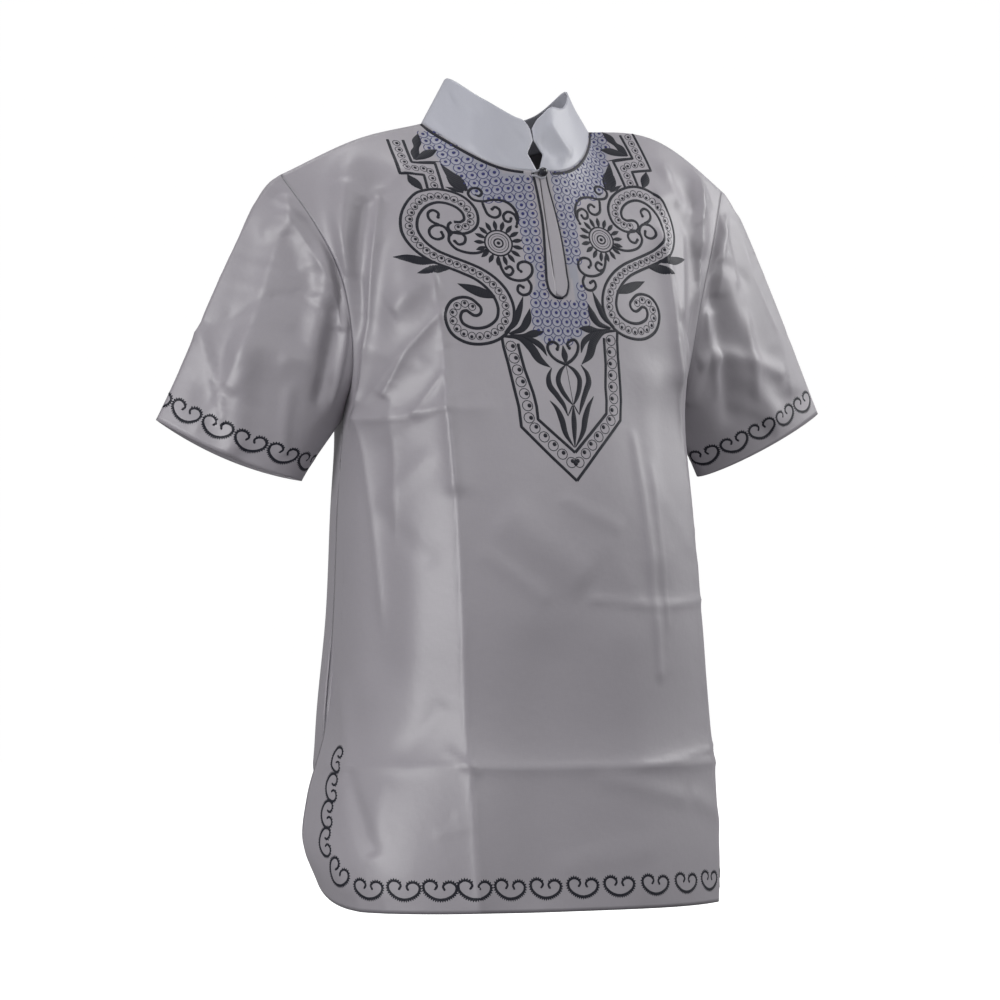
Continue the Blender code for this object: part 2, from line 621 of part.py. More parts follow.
def button_axes():
    """The place and turn of the button: Z out of the cloth, X to the wearer's left."""
    around = panel_form(FRONT_RINGS, FRONT_YOKE, np.array([-0.5, 0, 0.5]), BUTTON_AT_ROWS)
    points = around[:, :, :3] * CM
    outward = Vector(grid_normals(points, 1)[1, 1])
    side = Vector((1, 0, 0))
    turn = Matrix((side, outward.cross(side), outward)).transposed().to_4x4()
    return Matrix.Translation(Vector(points[1, 1])) @ turn


def make_button():
    """A ball on a short shank, a turned profile, beside the top of the slit."""
    centre = SEAM_GAP + BUTTON_SHANK_HEIGHT + BUTTON_RADIUS * BUTTON_SINK
    lowest = -math.acos(BUTTON_SHANK_RADIUS / BUTTON_RADIUS)
    bm = bmesh.new()
    profile = [
        (BUTTON_RADIUS * math.cos(angle), centre + BUTTON_RADIUS * math.sin(angle))
        for angle in np.linspace(math.pi / 2, lowest, BUTTON_RINGS)
    ]
    profile[0] = (0.0, centre + BUTTON_RADIUS)
    profile += [(BUTTON_SHANK_RADIUS, SEAM_GAP), (0.0, SEAM_GAP)]
    verts = [bm.verts.new((x, 0, z)) for x, z in profile]
    for start, end in zip(verts, verts[1:]):
        bm.edges.new((start, end))
    mesh = bpy.data.meshes.new("button")
    bm.to_mesh(mesh)
    bm.free()
    button = bpy.data.objects.new("button", mesh)
    turning = button.modifiers.new("turned", "SCREW")
    turning.steps = 20
    turning.render_steps = 20
    turning.use_merge_vertices = True
    turning.merge_threshold = 0.00001
    button.matrix_world = button_axes() @ Matrix.Translation((BUTTON_ASIDE, 0, 0))
    return button


def make_button_loop():
    """A fabric loop sewn on the wearer's right side and passed round the shank."""
    curve = bpy.data.curves.new("button_loop", "CURVE")
    curve.dimensions = "3D"
    curve.bevel_depth = LOOP_RADIUS
    curve.bevel_resolution = 2
    curve.use_fill_caps = True
    height = SEAM_GAP + LOOP_RADIUS
    route = [(BUTTON_ASIDE - LOOP_TAIL, -LOOP_MOUTH, height)]
    for angle in np.linspace(-LOOP_TURN, LOOP_TURN, LOOP_POINTS):
        x = BUTTON_ASIDE + LOOP_TURN_RADIUS * math.cos(angle)
        route.append((x, LOOP_TURN_RADIUS * math.sin(angle), height))
    route.append((BUTTON_ASIDE - LOOP_TAIL, LOOP_MOUTH, height))
    spline = curve.splines.new("POLY")
    spline.points.add(len(route) - 1)
    for point, at in zip(spline.points, route):
        point.co = (*at, 1)
    loop = bpy.data.objects.new("button_loop", curve)
    loop.matrix_world = button_axes()
    return loop


def principled(name, colour, roughness, metallic=0.0):
    """A Principled material with the piece's colour."""
    material = bpy.data.materials.new(name)
    material.use_nodes = True
    shader = material.node_tree.nodes["Principled BSDF"]
    shader.inputs["Base Color"].default_value = colour
    shader.inputs["Roughness"].default_value = roughness
    shader.inputs["Metallic"].default_value = metallic
    return material


for old in list(bpy.data.objects):
    bpy.data.objects.remove(old, do_unlink=True)
shirt = bpy.data.collections.new("dashiki_shirt")
bpy.context.scene.collection.children.link(shirt)


def keep(obj, material):
    """Put a finished piece in the shirt's collection with its material."""
    obj.data.materials.append(material)
    shirt.objects.link(obj)
    return obj


grids = cloth_pieces()
for piece_name, grid in grids.items():
    is_collar = piece_name == "collar"
    piece_wall = cloth_wall(
        piece_name,
        grid,
        COLLAR_CLOTH if is_collar else CLOTH,
        SLIT_ROW if piece_name == "front" else None,
    )
    colour = COLLAR_COLOUR if is_collar else CLOTH_COLOUR
    keep(piece_wall, principled(f"{piece_name}_poplin", colour, 0.6))
keep(make_placket(), principled("placket_poplin", CLOTH_COLOUR, 0.6))
keep(make_button(), principled("button_resin", BUTTON_COLOUR, 0.2))
keep(make_button_loop(), principled("loop_poplin", CLOTH_COLOUR, 0.6))
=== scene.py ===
"""The dashiki shirt dressed: the cloth with its creases, seams, embroidery and button.

Metres, in the shirt's own frame: +Z up, the front towards -Y, the wearer's right hand
towards -X. The cloth is worked out from the same named rings, levels and folds as the
solids, on finer grids. The embroidery is worked flat on the cut of a piece, in cm, and
then laid on the cloth.
"""

from collections import namedtuple
import math

import bmesh
import bpy
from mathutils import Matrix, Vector
import numpy as np


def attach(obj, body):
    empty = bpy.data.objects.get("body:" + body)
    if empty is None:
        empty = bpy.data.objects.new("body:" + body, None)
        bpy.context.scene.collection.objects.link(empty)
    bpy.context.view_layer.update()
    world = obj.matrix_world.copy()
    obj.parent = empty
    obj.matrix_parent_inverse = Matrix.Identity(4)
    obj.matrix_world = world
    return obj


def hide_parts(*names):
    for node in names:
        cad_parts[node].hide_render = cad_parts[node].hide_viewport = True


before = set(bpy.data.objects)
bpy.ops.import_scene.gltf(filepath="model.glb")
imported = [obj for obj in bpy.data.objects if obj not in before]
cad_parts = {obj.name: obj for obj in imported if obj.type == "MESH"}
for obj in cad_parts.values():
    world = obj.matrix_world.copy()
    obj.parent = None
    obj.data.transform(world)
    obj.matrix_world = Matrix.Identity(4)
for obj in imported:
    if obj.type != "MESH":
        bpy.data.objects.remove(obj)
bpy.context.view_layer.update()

CM = 0.01
FINENESS = 6

# A body panel's grid: half-width columns from the centre line, and rows from the hem up
COLUMNS = 16
NECK_COLUMN = 6
ROWS = 34
VENT_ROW = 7
ARMPIT_ROW = 20
SLIT_ROW = 28
SLEEVE_ROWS = 10
COLLAR_ROWS = 4
# Points measured along a ring's curve to space its columns evenly
RING_SAMPLES = 241
# How a mark's column, x, y, z, p and q change sign across the centre line
MARK_MIRROR = (-1, -1, 1, 1, -1, 1)

# Rings below the armpit, in cm: the centre line's depth and height on the shirt, its
# height in the cut, and the two side edges, named for the wearer's right and left. Each
# edge has its place, how square the half-section is and where its rounding starts
Ring = namedtuple("Ring", "row centre_y centre_z cut_q right left", defaults=[None])
Edge = namedtuple("Edge", "x y z square corner", defaults=[0.0])
FRONT_RINGS = (
    Ring(0.0, -20.6, -77.3, -79.9, Edge(22.3, -4.8, -73.4, 2.9, 0.68),
         Edge(19.3, 0.6, -73.0, 2.8, 0.80)),
    Ring(1.5, -20.2, -73.8, -76.4, Edge(23.1, -4.0, -71.4, 2.9, 0.56),
         Edge(19.6, 0.2, -70.8, 2.75, 0.65)),
    Ring(4.0, -19.5, -67.9, -70.5, Edge(22.2, -2.6, -66.8, 2.75, 0.30),
         Edge(19.7, -0.4, -66.4, 2.6, 0.30)),
    Ring(7.0, -18.6, -61.0, -63.6, Edge(19.9, -1.2, -60.8, 2.5),
         Edge(19.5, -1.2, -60.8, 2.4)),
    Ring(12.0, -17.9, -48.6, -51.1, Edge(18.8, -0.9, -48.8, 2.4),
         Edge(18.8, -0.9, -48.8, 2.3)),
    Ring(16.0, -17.0, -38.8, -41.2, Edge(18.5, -1.1, -39.2, 2.2),
         Edge(18.5, -1.1, -39.2, 2.1)),
    Ring(20.0, -15.2, -29.6, -31.8, Edge(18.1, -1.6, -30.0, 2.05),
         Edge(18.1, -1.6, -30.0, 1.95)),
)
BACK_RINGS = (
    Ring(0.0, 10.8, -77.9, -79.9, Edge(17.2, 3.6, -72.6, 2.4, 0.68),
         Edge(17.6, 3.6, -73.8, 2.4, 0.80)),
    Ring(1.5, 10.7, -74.2, -76.4, Edge(18.2, 3.0, -70.4, 2.4, 0.56),
         Edge(18.6, 3.0, -71.2, 2.4, 0.65)),
    Ring(4.0, 10.4, -68.2, -70.5, Edge(19.2, 1.2, -66.4, 2.4, 0.30),
         Edge(19.3, 1.2, -66.6, 2.4, 0.30)),
    Ring(7.0, 10.1, -61.0, -63.6, Edge(19.9, -1.2, -60.8, 2.4),
         Edge(19.5, -1.2, -60.8, 2.4)),
    Ring(12.0, 9.5, -48.6, -51.1, Edge(18.8, -0.9, -48.8, 2.35)),
    Ring(16.0, 9.2, -38.8, -41.2, Edge(18.5, -1.1, -39.2, 2.3)),
    Ring(20.0, 9.4, -29.6, -31.8, Edge(18.1, -1.6, -30.0, 2.3)),
)

# Yoke levels above the armpit, in cm: column, x, y, z on the shirt, then p, q in the cut
FRONT_YOKE = {
    23: ((0, 0.0, -13.7, -24.3, 0.0, -26.4), (6, 8.9, -12.6, -24.4, 9.0, -26.4),
         (11, 14.9, -9.6, -24.8, 15.8, -26.4), (16, 18.2, -4.4, -25.6, 21.8, -27.4)),
    27: ((0, 0.0, -11.9, -17.2, 0.0, -19.1), (6, 8.5, -11.0, -17.2, 8.6, -19.1),
         (11, 15.0, -9.0, -17.3, 15.4, -19.1), (16, 19.4, -5.2, -17.6, 21.2, -19.0)),
    31: ((0, 0.0, -9.5, -10.0, 0.0, -11.7), (6, 8.6, -6.9, -7.4, 8.6, -8.2),
         (11, 15.6, -5.6, -8.0, 15.8, -8.6), (16, 21.8, -3.4, -11.2, 22.6, -12.0)),
    34: ((0, 0.0, -8.0, -5.6, 0.0, -7.0), (2, 3.6, -7.2, -5.2, 3.6, -6.4),
         (4, 6.6, -4.6, -3.3, 6.6, -3.8), (5, 8.0, -2.5, -1.9, 8.0, -2.0),
         (6, 9.1, -0.3, -0.5, 9.1, 0.0), (11, 16.4, -0.7, -2.5, 16.6, -2.2),
         (16, 24.2, -0.4, -6.3, 25.0, -6.8)),
}
BACK_YOKE = {
    23: ((0, 0.0, 9.8, -23.6, 0.0, -25.2), (6, 8.8, 9.3, -23.6, 9.0, -25.2),
         (11, 14.8, 7.4, -24.0, 15.8, -25.4), (16, 18.2, 2.8, -25.4, 21.8, -26.6)),
    27: ((0, 0.0, 9.9, -15.6, 0.0, -17.2), (6, 8.4, 9.6, -15.4, 8.4, -17.0),
         (11, 15.0, 8.6, -15.8, 15.6, -17.4), (16, 20.4, 6.0, -17.4, 22.0, -18.6)),
    31: ((0, 0.0, 8.4, -7.6, 0.0, -8.8), (6, 8.6, 7.2, -5.0, 8.4, -6.4),
         (11, 15.8, 6.6, -6.8, 16.0, -8.6), (16, 22.8, 5.6, -10.2, 23.8, -11.6)),
    33: ((0, 0.0, 7.4, -4.6, 0.0, -5.8), (2, 3.8, 7.0, -4.0, 3.8, -5.1),
         (4, 7.0, 5.6, -2.7, 7.0, -3.5), (6, 9.6, 2.8, -1.2, 9.2, -0.8),
         (11, 16.4, 2.4, -2.9, 16.5, -2.0), (16, 24.0, 2.6, -6.7, 24.7, -6.2)),
    34: ((0, 0.0, 6.4, -3.2, 0.0, -4.2), (2, 4.2, 5.8, -2.7, 4.2, -3.6),
         (4, 7.6, 3.8, -1.5, 7.5, -1.7), (5, 8.7, 1.9, -0.9, 8.4, 0.4),
         (6, 9.1, -0.3, -0.5, 8.8, 2.6), (11, 16.4, -0.7, -2.5, 16.6, 0.9),
         (16, 24.2, -0.4, -6.3, 25.0, -3.6)),
}

# The collar's top edge in cm, by steps from its front end to the centre back: x, y, z
COLLAR_TOP = (
    (0, 0.0, -6.3, -0.6), (3, 4.4, -4.5, 1.5), (6, 6.5, -0.2, 3.8),
    (9, 4.7, 3.8, 1.5), (12, 0.0, 5.2, 0.2),
)
COLLAR_STEPS = 12

# A sleeve, in cm: -1 or 1 for the wearer's right or left, the cuff's outer fold and inner
# corner, how far its two layers swell and its edge dips, the way that its length runs, and
# how far it keeps to the shoulder's lean
Sleeve = namedtuple("Sleeve", "side outer inner front_swell back_swell dip axis reach")
SLEEVES = {
    "sleeve_right": Sleeve(-1, (36.3, 1.5, -30.4), (22.0, -0.6, -36.2), 3.4, 2.2, 0.8,
                           (0.44, 0.10, -0.89), 10.5),
    "sleeve_left": Sleeve(1, (36.4, 1.5, -28.4), (21.6, 0.0, -35.2), 2.4, 2.2, 0.0,
                          (0.46, 0.10, -0.88), 6.0),
}
HEAD_LEAN = (0.90, 0.0, -0.44)
UNDERARM_REACH = 3.5
# Shape of the swell round half of the cuff, from its inner corner to its outer fold, how
# the sleeve's lean grows round it, and how its rows crowd towards the armhole
SWELL_START = 0.55
SWELL_END = 0.85
HEAD_GROWTH = 1.3
ROW_CROWDING = 1.15
# The wearer's left shoulder stands higher, in cm, over a span of columns and from a row up
LEFT_SHOULDER_RISE = 1.5
LEFT_SHOULDER_SPAN = 11.0
LEFT_SHOULDER_ROW = 28.0
# The collar leans down towards the wearer's left, in cm per cm
COLLAR_TILT = 0.05

# Largest folds, in cm of the cut: from p, q to p, q, the half-width, the rise along the
# cloth's outward side, and whether the top of the fold is a pressed edge
Fold = namedtuple("Fold", "p q to_p to_q width rise pressed", defaults=[False])
# Share of a fold's length over which it fades at an end, and how sharp a pressed one is
FOLD_FADE = 0.2
PRESSED_SHARPNESS = 1.4
# Columns or rows over which the folds fade at a seam, and the same along a sleeve
SEAM_FADE = 1.5
ARMHOLE_FADE = 0.12
FRONT_FOLDS = (
    Fold(-11.7, -28.0, -11.6, -84.0, 4.6, 0.95, True),
    Fold(15.0, -24.0, 17.2, -84.0, 3.6, 0.45, True),
    Fold(-33.0, -66.4, 30.0, -66.4, 2.2, 0.22, True),
    Fold(-24.0, -32.4, -8.0, -31.6, 2.2, 0.30, True),
    Fold(-19.2, -34.0, -20.8, -58.0, 3.0, -0.50),
    Fold(-17.8, -3.0, -21.4, -18.0, 1.6, 0.80),
    Fold(-15.2, -6.0, -19.4, -24.0, 1.9, -0.65),
    Fold(-13.0, -5.0, -15.4, -22.0, 1.8, 0.35),
    Fold(13.6, -13.0, 15.4, -28.0, 1.8, 0.50, True),
    Fold(20.8, -3.5, 20.2, -14.0, 1.6, 0.55),
    Fold(18.0, -8.0, 18.8, -24.0, 1.8, -0.45),
    Fold(10.4, -27.0, 9.4, -48.0, 2.2, 0.30),
    Fold(-7.4, -42.0, 0.6, -48.4, 2.2, 0.28),
    Fold(-4.0, -54.0, -6.0, -80.0, 3.2, -0.30),
    Fold(4.5, -52.0, 6.0, -80.0, 3.4, 0.25),
)
BACK_FOLDS = (
    Fold(-11.7, -10.0, -11.7, -84.0, 3.6, 0.45, True),
    Fold(11.7, -10.0, 11.7, -84.0, 3.6, 0.55, True),
    Fold(-30.0, -66.4, 30.0, -66.4, 2.2, 0.22, True),
    Fold(-26.0, -32.0, 26.0, -32.0, 2.2, 0.20, True),
    Fold(17.0, -9.0, 8.0, -30.0, 2.2, 0.40),
    Fold(-17.5, -9.0, -9.0, -28.0, 2.2, 0.45),
    Fold(19.5, -16.0, 15.0, -40.0, 2.0, -0.45),
    Fold(-19.5, -16.0, -15.0, -38.0, 2.0, -0.45),
    Fold(3.0, -40.0, 5.0, -80.0, 3.6, -0.35),
    Fold(-4.5, -36.0, -5.5, -80.0, 3.4, 0.30),
)

# Folds of a sleeve by its own shares: around from the underarm over the front, 0 to 1,
# and along from the armhole to the cuff, with the half-width and rise in cm
SleeveFold = namedtuple("SleeveFold", "round along to_round to_along width rise")
SLEEVE_LENGTH = 21.0
SLEEVE_ROUND = 42.0
SLEEVE_FOLDS = {
    "sleeve_right": (
        SleeveFold(0.34, 0.02, 0.22, 0.42, 1.5, 0.55),
        SleeveFold(0.26, 0.02, 0.14, 0.50, 1.5, -0.45),
        SleeveFold(0.40, 0.66, 0.16, 0.46, 1.6, 0.50),
        SleeveFold(0.38, 0.60, 0.26, 0.98, 1.6, 0.50),
        SleeveFold(0.46, 0.30, 0.40, 0.90, 1.8, -0.30),
        SleeveFold(0.70, 0.05, 0.80, 0.70, 1.8, 0.45),
        SleeveFold(0.84, 0.10, 0.72, 0.80, 1.8, -0.40),
    ),
    "sleeve_left": (
        SleeveFold(0.38, 0.04, 0.30, 0.70, 1.8, 0.45),
        SleeveFold(0.30, 0.10, 0.16, 0.70, 1.6, -0.40),
        SleeveFold(0.20, 0.35, 0.32, 0.92, 1.6, 0.40),
        SleeveFold(0.68, 0.05, 0.80, 0.75, 1.8, 0.45),
        SleeveFold(0.82, 0.15, 0.70, 0.85, 1.8, -0.40),
    ),
}


# Finer folds and creases, which the solids leave out

FINE_FRONT = (
    # round the wearer's right shoulder and down its side
    Fold(-12.2, -9.0, -17.4, -14.6, 0.8, 0.16),
    Fold(-22.4, -30.0, -20.6, -52.0, 0.9, 0.26, True),
    Fold(-17.6, -30.5, -18.6, -44.0, 1.0, 0.24, True),
    Fold(-15.0, -24.5, -21.0, -31.0, 0.7, 0.14, True),
    Fold(-22.0, -24.0, -13.4, -27.2, 0.8, 0.12),
    # round the wearer's left shoulder
    Fold(21.2, -4.6, 20.2, -10.0, 0.7, 0.30),
    Fold(15.4, -4.4, 18.6, -12.4, 0.8, 0.22),
    Fold(17.2, -12.0, 15.2, -21.5, 0.9, 0.24),
    Fold(19.6, -17.6, 16.4, -25.2, 0.8, 0.20),
    Fold(14.6, -21.6, 20.0, -24.6, 0.7, -0.14),
    # across the chest and the belly
    Fold(-9.0, -29.2, -19.5, -34.6, 0.7, 0.10),
    Fold(-13.8, -36.2, -21.4, -42.2, 1.0, 0.18),
    Fold(-21.6, -41.0, -14.2, -46.8, 1.2, -0.16),
    Fold(-16.0, -43.6, -16.8, -63.0, 1.6, 0.12),
    Fold(-1.6, -40.4, 4.8, -43.4, 0.8, 0.08),
    Fold(-9.8, -45.6, -3.4, -50.4, 0.9, 0.12),
    Fold(2.6, -44.6, 9.4, -53.8, 1.3, 0.05),
    Fold(8.8, -38.4, 15.6, -45.4, 1.1, 0.06),
    # below the crossing crease
    Fold(-26.5, -58.6, -24.2, -69.0, 1.4, 0.20),
    Fold(-13.6, -60.4, -18.2, -65.6, 1.2, -0.14),
    Fold(-11.2, -66.6, -13.8, -64.8, 0.5, 0.16, True),
    Fold(-19.8, -67.6, -22.0, -75.2, 1.2, 0.14),
    Fold(-11.8, -71.8, -15.4, -72.6, 0.5, 0.09, True),
    Fold(1.2, -67.4, 11.6, -69.6, 0.9, 0.10),
    Fold(4.8, -66.6, 20.0, -64.6, 0.6, 0.14, True),
    Fold(12.6, -69.4, 20.6, -72.6, 1.1, 0.12),
    Fold(-3.4, -75.8, 6.8, -74.2, 1.4, 0.08),
    Fold(-27.6, -72.4, -24.8, -78.6, 0.8, 0.12),
    Fold(-24.2, -77.0, -23.0, -80.4, 0.5, 0.08),
    Fold(-20.8, -77.6, -20.2, -80.4, 0.4, 0.06),
)
# Creases that bend: marks of p and q, half-width, rise and whether the top is pressed
Crease = namedtuple("Crease", "marks width rise pressed", defaults=[False])
FRONT_CREASES = (
    # from the wearer's right shoulder past the armhole
    Crease(((-18.9, -7.8), (-18.8, -10.5), (-20.2, -15.3), (-20.9, -17.5)), 1.1, 0.30),
    Crease(((-17.8, -9.4), (-19.1, -14.9), (-20.6, -21.6), (-21.4, -25.5), (-22.6, -29.5),
            (-24.9, -33.0)), 0.9, -0.62),
    Crease(((-16.2, -9.1), (-17.6, -14.8), (-18.9, -20.1), (-19.9, -25.0), (-21.9, -31.0)),
           0.8, 0.60, True),
    Crease(((-12.8, -6.0), (-14.6, -7.6), (-16.5, -8.5), (-17.8, -9.2), (-18.4, -10.5)),
           0.8, 0.24, True),
    Crease(((-12.1, -18.6), (-14.3, -19.9), (-16.6, -21.7)), 0.9, 0.28),
    Crease(((-11.9, -22.1), (-15.3, -25.3), (-17.3, -28.4), (-18.4, -30.2)), 1.0, 0.50, True),
    Crease(((-12.1, -28.0), (-14.5, -31.3), (-15.3, -32.3)), 0.6, 0.30, True),
    Crease(((-12.2, -17.4), (-12.0, -20.6), (-11.8, -25.3), (-11.9, -32.0), (-11.9, -40.0)),
           1.3, 0.62, True),
    Crease(((-24.6, -32.4), (-18.6, -32.7), (-15.4, -32.4), (-11.9, -31.8)), 0.6, 0.24, True),
    # round the wearer's left shoulder and down the packing crease there
    Crease(((20.9, -5.1), (20.0, -9.3), (19.6, -13.2), (20.1, -18.7), (21.0, -23.5)),
           0.7, 0.50, True),
    Crease(((21.6, -4.9), (22.2, -7.0), (22.0, -8.4), (23.3, -9.0)), 0.5, 0.30, True),
    Crease(((16.0, -5.1), (16.5, -6.6)), 0.8, 0.16),
    Crease(((13.9, -9.0), (16.9, -8.6), (18.8, -9.7), (19.4, -11.2)), 0.9, 0.26),
    Crease(((13.4, -12.3), (13.3, -13.7), (13.6, -17.4), (14.0, -23.8), (14.8, -28.2),
            (15.7, -35.0), (16.4, -44.0), (17.0, -60.0)), 0.6, 0.30, True),
)
# The sharp edges where the shirt was folded in its packet
PACKET_CREASES = (
    Crease(((-11.7, -30.0), (-11.7, -48.0), (-11.6, -66.4), (-11.6, -79.6)), 0.5, 0.17, True),
    Crease(((-29.0, -66.4), (-20.0, -66.4), (-11.6, -66.4), (0.0, -66.4), (12.0, -66.4),
            (26.0, -66.4)), 0.4, 0.11, True),
    Crease(((-24.6, -66.8), (-23.2, -70.2), (-21.4, -74.4)), 1.0, -0.34),
    Crease(((-13.4, -70.8), (-11.7, -70.9)), 0.5, 0.10, True),
    Crease(((-12.6, -65.9), (-11.6, -66.5), (-10.6, -66.9)), 0.4, 0.14),
    Crease(((1.0, -50.2), (9.0, -50.9), (14.0, -50.6), (18.6, -50.2)), 0.4, 0.13, True),
    Crease(((7.2, -34.0), (8.0, -44.0), (8.6, -52.0), (9.0, -58.0)), 0.5, 0.15),
    Crease(((9.2, -37.0), (9.7, -45.0), (10.4, -53.0)), 0.4, 0.12, True),
)
# The same on a sleeve, by cm round from the underarm over the front and up from the cuff
SLEEVE_CREASES = {
    "sleeve_right": (
        Crease(((16.5, 25.7), (15.2, 23.4), (13.3, 22.3), (10.3, 19.9), (8.4, 17.6),
                (7.4, 16.1)), 0.8, 0.36, True),
        Crease(((15.0, 21.8), (12.6, 19.9), (10.6, 17.9)), 1.0, -0.22),
        Crease(((17.9, 10.0), (16.2, 11.3), (15.0, 13.5), (13.6, 15.6), (12.1, 17.2),
                (10.2, 17.0), (8.5, 17.2)), 0.5, -0.20, True),
        Crease(((17.8, 9.9), (16.2, 8.0), (14.5, 6.3), (13.0, 4.5), (11.8, 2.8)),
               0.7, 0.38, True),
        Crease(((15.4, 24.3), (14.7, 18.7), (14.1, 15.9), (13.2, 9.8), (12.9, 5.7)),
               2.4, 0.55, True),
        Crease(((18.1, 26.3), (17.2, 26.5)), 0.5, -0.18),
        Crease(((17.1, 24.6), (16.7, 26.0)), 0.4, -0.18),
        Crease(((24.0, 22.0), (22.6, 16.0), (23.4, 10.0)), 1.5, 0.40, True),
        Crease(((28.5, 14.0), (25.0, 10.0), (21.8, 8.2)), 0.7, 0.28, True),
        Crease(((20.4, 18.4), (23.8, 15.8), (27.8, 16.6)), 0.5, -0.20, True),
    ),
    "sleeve_left": (
        Crease(((16.8, 22.9), (15.8, 16.2), (16.0, 9.1), (14.3, 3.8)), 1.8, 0.30, True),
        Crease(((5.9, 12.3), (8.0, 11.8), (11.9, 8.3), (14.2, 5.9)), 0.9, 0.26),
        Crease(((3.0, 8.4), (6.2, 12.0), (9.4, 16.4)), 0.8, 0.22),
        Crease(((16.2, 23.6), (13.0, 20.6), (10.8, 17.4)), 0.7, 0.26, True),
        Crease(((23.0, 21.0), (24.5, 14.0), (22.6, 8.0)), 1.5, 0.30, True),
        Crease(((29.0, 12.0), (26.0, 9.0), (23.5, 4.0)), 0.7, 0.26, True),
        Crease(((20.6, 15.6), (24.0, 17.4), (27.6, 15.2)), 0.5, -0.20, True),
    ),
}
BACK_CREASES = (
    Crease(((-22.0, -6.4), (-20.4, -11.8), (-20.6, -17.6), (-21.8, -24.0)), 0.8, 0.42, True),
    Crease(((22.2, -6.0), (20.8, -12.4), (20.4, -18.8), (21.6, -25.2)), 0.8, 0.40, True),
    Crease(((-11.9, -8.6), (-11.6, -16.8), (-11.8, -30.0)), 0.9, 0.28, True),
    Crease(((11.8, -9.2), (11.6, -18.0), (11.8, -31.0)), 0.9, 0.28, True),
    Crease(((-12.0, -24.4), (-15.4, -28.0), (-18.6, -31.8)), 0.8, 0.28, True),
    Crease(((12.0, -22.6), (15.0, -27.6), (19.2, -31.6)), 0.8, 0.28, True),
)
FINE_BACK = (
    Fold(-20.8, -7.0, -17.4, -13.8, 0.8, 0.24),
    Fold(20.6, -6.4, 16.8, -12.8, 0.8, 0.22),
    Fold(-13.2, -7.4, -17.8, -15.6, 0.9, -0.20),
    Fold(13.6, -8.2, 17.6, -17.0, 1.0, -0.18),
    Fold(-12.0, -5.6, 11.4, -7.2, 0.9, 0.10),
    Fold(-18.4, -24.6, -12.0, -31.2, 0.9, 0.16),
    Fold(18.0, -26.0, 11.8, -33.6, 1.0, 0.18),
    Fold(-2.2, -20.8, 3.6, -29.4, 1.2, 0.12),
    Fold(-16.2, -40.2, -17.4, -60.4, 1.6, 0.20),
    Fold(15.4, -38.8, 16.6, -57.2, 1.5, 0.22),
    Fold(-8.8, -43.0, -1.6, -48.8, 1.0, 0.12),
    Fold(4.8, -45.2, 10.2, -54.4, 1.2, 0.14),
    Fold(-11.6, -66.6, -14.2, -64.4, 0.5, 0.16, True),
    Fold(11.8, -66.2, 14.6, -68.8, 0.5, 0.14, True),
    Fold(-9.4, -70.4, 2.8, -72.8, 1.0, 0.10),
    Fold(5.4, -75.4, 13.4, -73.0, 1.3, 0.10),
)
FINE_SLEEVES = {
    "sleeve_right": (
        SleeveFold(0.30, 0.02, 0.36, 0.26, 0.6, 0.16),
        SleeveFold(0.42, 0.03, 0.46, 0.30, 0.6, 0.18),
        SleeveFold(0.20, 0.06, 0.10, 0.36, 0.7, 0.18),
        SleeveFold(0.14, 0.34, 0.28, 0.56, 0.7, 0.20),
        SleeveFold(0.30, 0.44, 0.44, 0.56, 0.6, 0.14),
        SleeveFold(0.22, 0.60, 0.12, 0.86, 0.9, 0.18),
        SleeveFold(0.34, 0.70, 0.40, 0.96, 0.7, 0.14),
        SleeveFold(0.60, 0.04, 0.66, 0.40, 0.8, 0.20),
        SleeveFold(0.76, 0.40, 0.64, 0.76, 0.9, 0.18),
        SleeveFold(0.88, 0.20, 0.80, 0.60, 0.8, 0.16),
    ),
    "sleeve_left": (
        SleeveFold(0.44, 0.02, 0.38, 0.34, 0.6, 0.18),
        SleeveFold(0.34, 0.10, 0.42, 0.40, 0.6, -0.14),
        SleeveFold(0.24, 0.16, 0.16, 0.52, 0.8, 0.18),
        SleeveFold(0.36, 0.46, 0.26, 0.74, 0.8, 0.16),
        SleeveFold(0.18, 0.62, 0.30, 0.94, 0.9, 0.16),
        SleeveFold(0.60, 0.06, 0.68, 0.44, 0.8, 0.18),
        SleeveFold(0.78, 0.36, 0.66, 0.70, 0.9, 0.18),
        SleeveFold(0.90, 0.16, 0.82, 0.56, 0.8, 0.14),
    ),
}
# Half of the gap between the collar's ends by share of its height, how far its end corners
# drop and over what reach, and the rise of the wearer's left half, in cm
COLLAR_ENDS = ((0.0, 0.12), (0.36, 0.88), (0.66, 0.06), (1.0, 0.06))
CORNER_DROP = 0.75
CORNER_REACH = 1.1
LEFT_RISE = 1.0
LEFT_RISE_AT = 2.6
LEFT_RISE_SPAN = 1.6
# Dents of the collar by cm from its end on the wearer's left or right, and up from the
# neckline, where they fade over a sixth of its height
COLLAR_DENT_EASE = 6
COLLAR_DENTS = (
    Fold(2.0, 4.6, 4.6, 1.2, 0.8, 0.40, True),
    Fold(0.6, 3.2, 3.0, 1.0, 1.0, -0.22),
    Fold(0.8, 1.3, 3.6, 1.35, 0.35, 0.12, True),
)
COLLAR_DENTS_RIGHT = (
    Fold(7.4, 4.4, 7.0, 0.4, 1.2, 0.14),
    Fold(3.6, 1.2, 1.2, 3.6, 1.2, -0.12),
    Fold(10.6, 4.2, 11.8, 0.6, 1.3, -0.14),
)


# Curves


def smooth_step(share):
    """0 to 1 with level ends."""
    share = np.clip(share, 0, 1)
    return share * share * (3 - 2 * share)


def hump(share, start, end):
    """0 at both ends and 1 at the top, with these powers at the start and the end."""
    top = start / (start + end)
    return (share / top) ** start * ((1 - share) / (1 - top)) ** end


